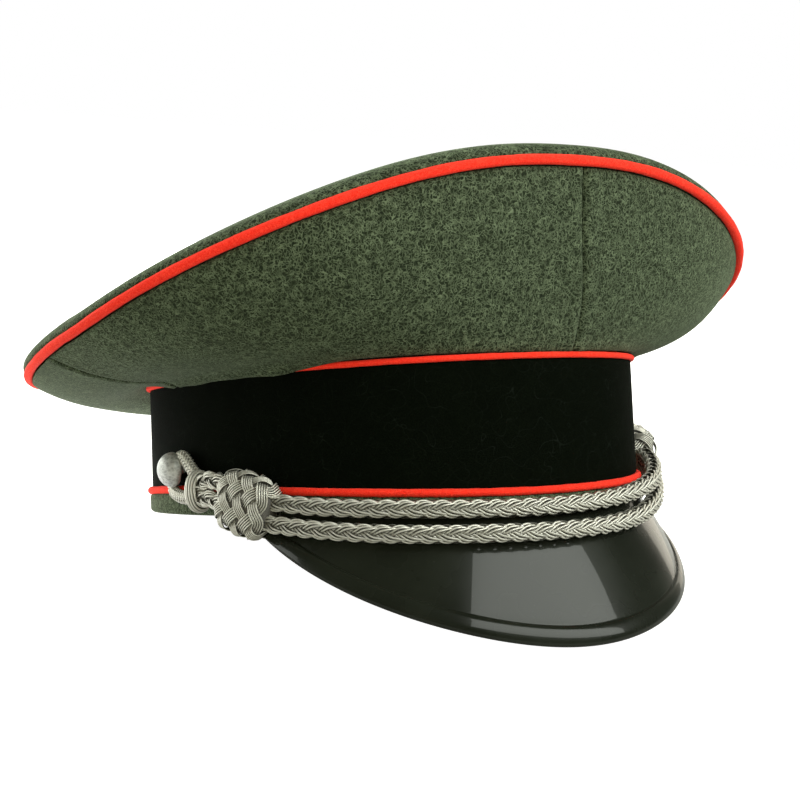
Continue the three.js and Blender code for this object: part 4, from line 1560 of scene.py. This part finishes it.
# Softboxes: turn round the cap and height of the middle in degrees, distance, width and
# height in metres, share of the way that it is leant to face the cap, roll in degrees,
# its radiance in red, green and blue, and whether it is mirrored in gloss.
SOFTBOXES = {
    "front": (-22.0, 38.0, 1.35, 1.16, 1.4, -0.35, -18.0, (6.1, 6.35, 5.9), True),
    "front_left": (42.0, 6.0, 1.2, 0.6, 0.45, 1.0, 0.0, (5.6, 5.3, 3.4), False),
    "right": (-120.0, 14.0, 1.2, 0.95, 0.75, 1.0, 0.0, (2.3, 2.15, 1.8), True),
    "side": (-75.0, 8.0, 1.2, 1.1, 0.5, 1.0, 0.0, (1.3, 1.25, 1.0), False),
    "back_right": (-150.0, 20.0, 1.2, 0.9, 0.8, 1.0, 0.0, (6.0, 6.2, 5.8), True),
    "back": (180.0, 16.0, 1.2, 1.3, 0.8, 1.0, 0.0, (6.0, 6.2, 5.8), True),
    "back_left": (150.0, 3.0, 1.2, 1.0, 0.4, 1.0, 0.0, (4.0, 4.1, 3.8), False),
    "left": (125.0, 14.0, 1.2, 0.9, 0.75, 1.0, 0.0, (3.0, 3.1, 2.9), True),
    "top": (180.0, 70.0, 1.3, 1.2, 0.9, 1.0, 0.0, (4.5, 4.6, 4.3), True),
}
SOFTBOX_AIM = np.array([0.0, 0.0, 45.0])
# the floor is a disc, its radius in metres
FLOOR = {"radius": 6.0, "corners": 96}
# pool of light on the floor behind the cap's right side: middle, radii in metres
# between which it fades, radiance
FLOOR_POOL = {"middle": (-75.0, 185.0, 0.0), "reach": (0.03, 0.2), "radiance": 3.0}
# where the camera stands from a middle, in degrees and millimetres, how far it is rolled,
# and how far its aim goes past the middle, across and up, for a distance of one
CAMERA = {
    "turn": 33.562,
    "lift": -1.5455,
    "roll": -2.3857,
    "middle": (0.0, 0.0, 50.0),
    "distance": 735.1,
    "aside": (0.006657, -0.013687),
    "sensor": 36.0,
    "clip": (0.05, 30.0),
}


def bearing(turn, lift):
    """Unit direction at a turn round the cap and a lift above the floor, in degrees."""
    turn, lift = rad(turn), rad(lift)
    flat = math.cos(lift)
    return np.array([-math.sin(turn) * flat, -math.cos(turn) * flat, math.sin(lift)])


def softbox(name, turn, height, distance, wide, tall, lean, roll, radiance, mirrored):
    """Rectangular area light that stands upright or leans to face the middle of the
    cap; its power is its radiance times its area times pi."""
    light = bpy.data.lights.new(f"Softbox {name}", "AREA")
    light.shape = "RECTANGLE"
    light.size, light.size_y = wide, tall
    light.energy = math.pi * wide * tall
    light.color = radiance
    lamp = bpy.data.objects.new(light.name, light)
    place = SOFTBOX_AIM + bearing(turn, height) * distance / MM
    faced = SOFTBOX_AIM.copy()
    faced[2] = place[2] + (faced[2] - place[2]) * lean
    lamp.location = Vector(to_world(place))
    facing = (lamp.location - Vector(to_world(faced))).to_track_quat("Z", "Y")
    lamp.rotation_euler = (facing @ Quaternion((0, 0, 1), rad(roll))).to_euler()
    lamp.visible_glossy = mirrored
    bpy.context.scene.collection.objects.link(lamp)


def pale_floor(s):
    """Floor's material: pale, with faint specks. The camera sees it give off an even
    paleness; everything else gets a faint light from it, and more in the pool."""
    material, w, shader = new_material(
        "Pale floor", Roughness=0.8, Specular_IOR_Level=0.1, Emission_Strength=1.0
    )
    place = w.texture_place()
    pool = tuple(to_world(np.array(FLOOR_POOL["middle"])))
    distance = {"operation": "DISTANCE"}
    away = w.add("ShaderNodeVectorMath", distance, {0: place, 1: pool}).outputs["Value"]
    lit = w.ramp(away, *FLOOR_POOL["reach"], FLOOR_POOL["radiance"], s.floor_glow)
    lit = w.add("ShaderNodeCombineColor", None, {0: lit, 1: lit, 2: lit}).outputs[0]
    seen = w.add("ShaderNodeLightPath").outputs["Is Camera Ray"]
    w.feed(
        shader,
        Base_Color=w.blend(w.noise(place, 40.0, 3.0), s.floor, (0.8, 0.8, 0.8), 0.04),
        Emission_Color=w.blend(seen, lit, (s.floor_seen,) * 3),
    )
    return material


def floor_disc(s):
    """Flat disc under the cap, in metres."""
    angle = 2 * np.pi * np.arange(FLOOR["corners"]) / FLOOR["corners"]
    ring = FLOOR["radius"] * np.stack([np.cos(angle), np.sin(angle), 0 * angle], -1)
    mesh = bpy.data.meshes.new("floor")
    mesh.from_pydata(ring.tolist(), [], [list(range(len(ring)))])
    mesh.materials.append(pale_floor(s))
    floor = bpy.data.objects.new("floor", mesh)
    bpy.context.scene.collection.objects.link(floor)
    return floor


def studio_world(s):
    """White world: full strength to the camera, and weaker light from all round, with a
    strength of its own in reflections."""
    world = bpy.data.worlds.new("Studio")
    world.use_nodes = True
    w = Wiring(world.node_tree)
    background = world.node_tree.nodes["Background"]
    background.inputs["Color"].default_value = (1.0, 1.0, 1.0, 1.0)
    path = w.add("ShaderNodeLightPath").outputs
    unseen = w.ramp(path["Is Glossy Ray"], 0.0, 1.0, s.fill, s.gloss_fill)
    w.feed(background, Strength=w.math("MAXIMUM", unseen, path["Is Camera Ray"]))
    return world


def studio_camera(s):
    """Camera that stands back from the middle, is rolled about the line to it, and then
    aims a little aside of it: forward is unit(-back + aside across + aside up)."""
    back, roll = bearing(CAMERA["turn"], CAMERA["lift"]), rad(CAMERA["roll"])
    level = unit(np.cross(-back, [0.0, 0.0, 1.0]))
    upright = np.cross(level, -back)
    across = math.cos(roll) * level + math.sin(roll) * upright
    upward = math.cos(roll) * upright - math.sin(roll) * level
    ahead = unit(-back + CAMERA["aside"][0] * across + CAMERA["aside"][1] * upward)
    across = unit(across - ahead * (across @ ahead))
    axes = np.stack([across, np.cross(across, ahead), -ahead]) @ BASIS
    place = to_world(np.array(CAMERA["middle"]) + CAMERA["distance"] * back)
    data = bpy.data.cameras.new("Camera")
    data.lens, data.sensor_width = s.lens, CAMERA["sensor"]
    data.clip_start, data.clip_end = CAMERA["clip"]
    camera = bpy.data.objects.new("Camera", data)
    turned = Matrix(axes.T.tolist()).to_4x4()
    camera.matrix_world = Matrix.Translation(Vector(place)) @ turned
    bpy.context.scene.collection.objects.link(camera)
    return camera


class CAP_OT_stage(bpy.types.Operator):
    """Makes the floor, the soft light and the camera"""

    bl_idname = "cap.build_stage"
    bl_label = "Stage"

    def execute(self, context):
        scene = context.scene
        s = scene.cap_stage
        scene.view_settings.view_transform = "Standard"
        floor_disc(s)
        scene.world = studio_world(s)
        for name, values in SOFTBOXES.items():
            softbox(name, *values)
        scene.camera = studio_camera(s)
        return {"FINISHED"}


OPERATORS = (
    CAP_OT_stage,
    CAP_OT_crown,
    CAP_OT_pipings,
    CAP_OT_band,
    CAP_OT_peak,
    CAP_OT_chin_cord,
    CAP_OT_slide_knots,
    CAP_OT_small_knots,
    CAP_OT_loops,
    CAP_OT_buttons,
)


class CAP_PT_panel(bpy.types.Panel):
    """Sidebar panel with the cap's settings and the buttons that build it"""

    bl_idname = "CAP_PT_panel"
    bl_label = "Peaked cap"
    bl_space_type = "VIEW_3D"
    bl_region_type = "UI"
    bl_category = "Cap"

    def draw(self, context):
        for name in SETTINGS:
            settings = getattr(context.scene, name)
            box = self.layout.box()
            for key in settings.bl_rna.properties.keys():
                if key not in ("rna_type", "name"):
                    box.prop(settings, key)
        for operator in OPERATORS:
            self.layout.operator(operator.bl_idname)


def register():
    """Registers the settings, the operators and the panel."""
    for name, group in SETTINGS.items():
        bpy.utils.register_class(group)
        setattr(bpy.types.Scene, name, PointerProperty(type=group))
    for cls in (*OPERATORS, CAP_PT_panel):
        bpy.utils.register_class(cls)


def unregister():
    """Takes all of it out again."""
    for cls in reversed((*OPERATORS, CAP_PT_panel)):
        bpy.utils.unregister_class(cls)
    for name, group in SETTINGS.items():
        delattr(bpy.types.Scene, name)
        bpy.utils.unregister_class(group)


def main():
    register()
    for operator in OPERATORS:
        category, name = operator.bl_idname.split(".")
        getattr(getattr(bpy.ops, category), name)()


if __name__ == "__main__":
    main()
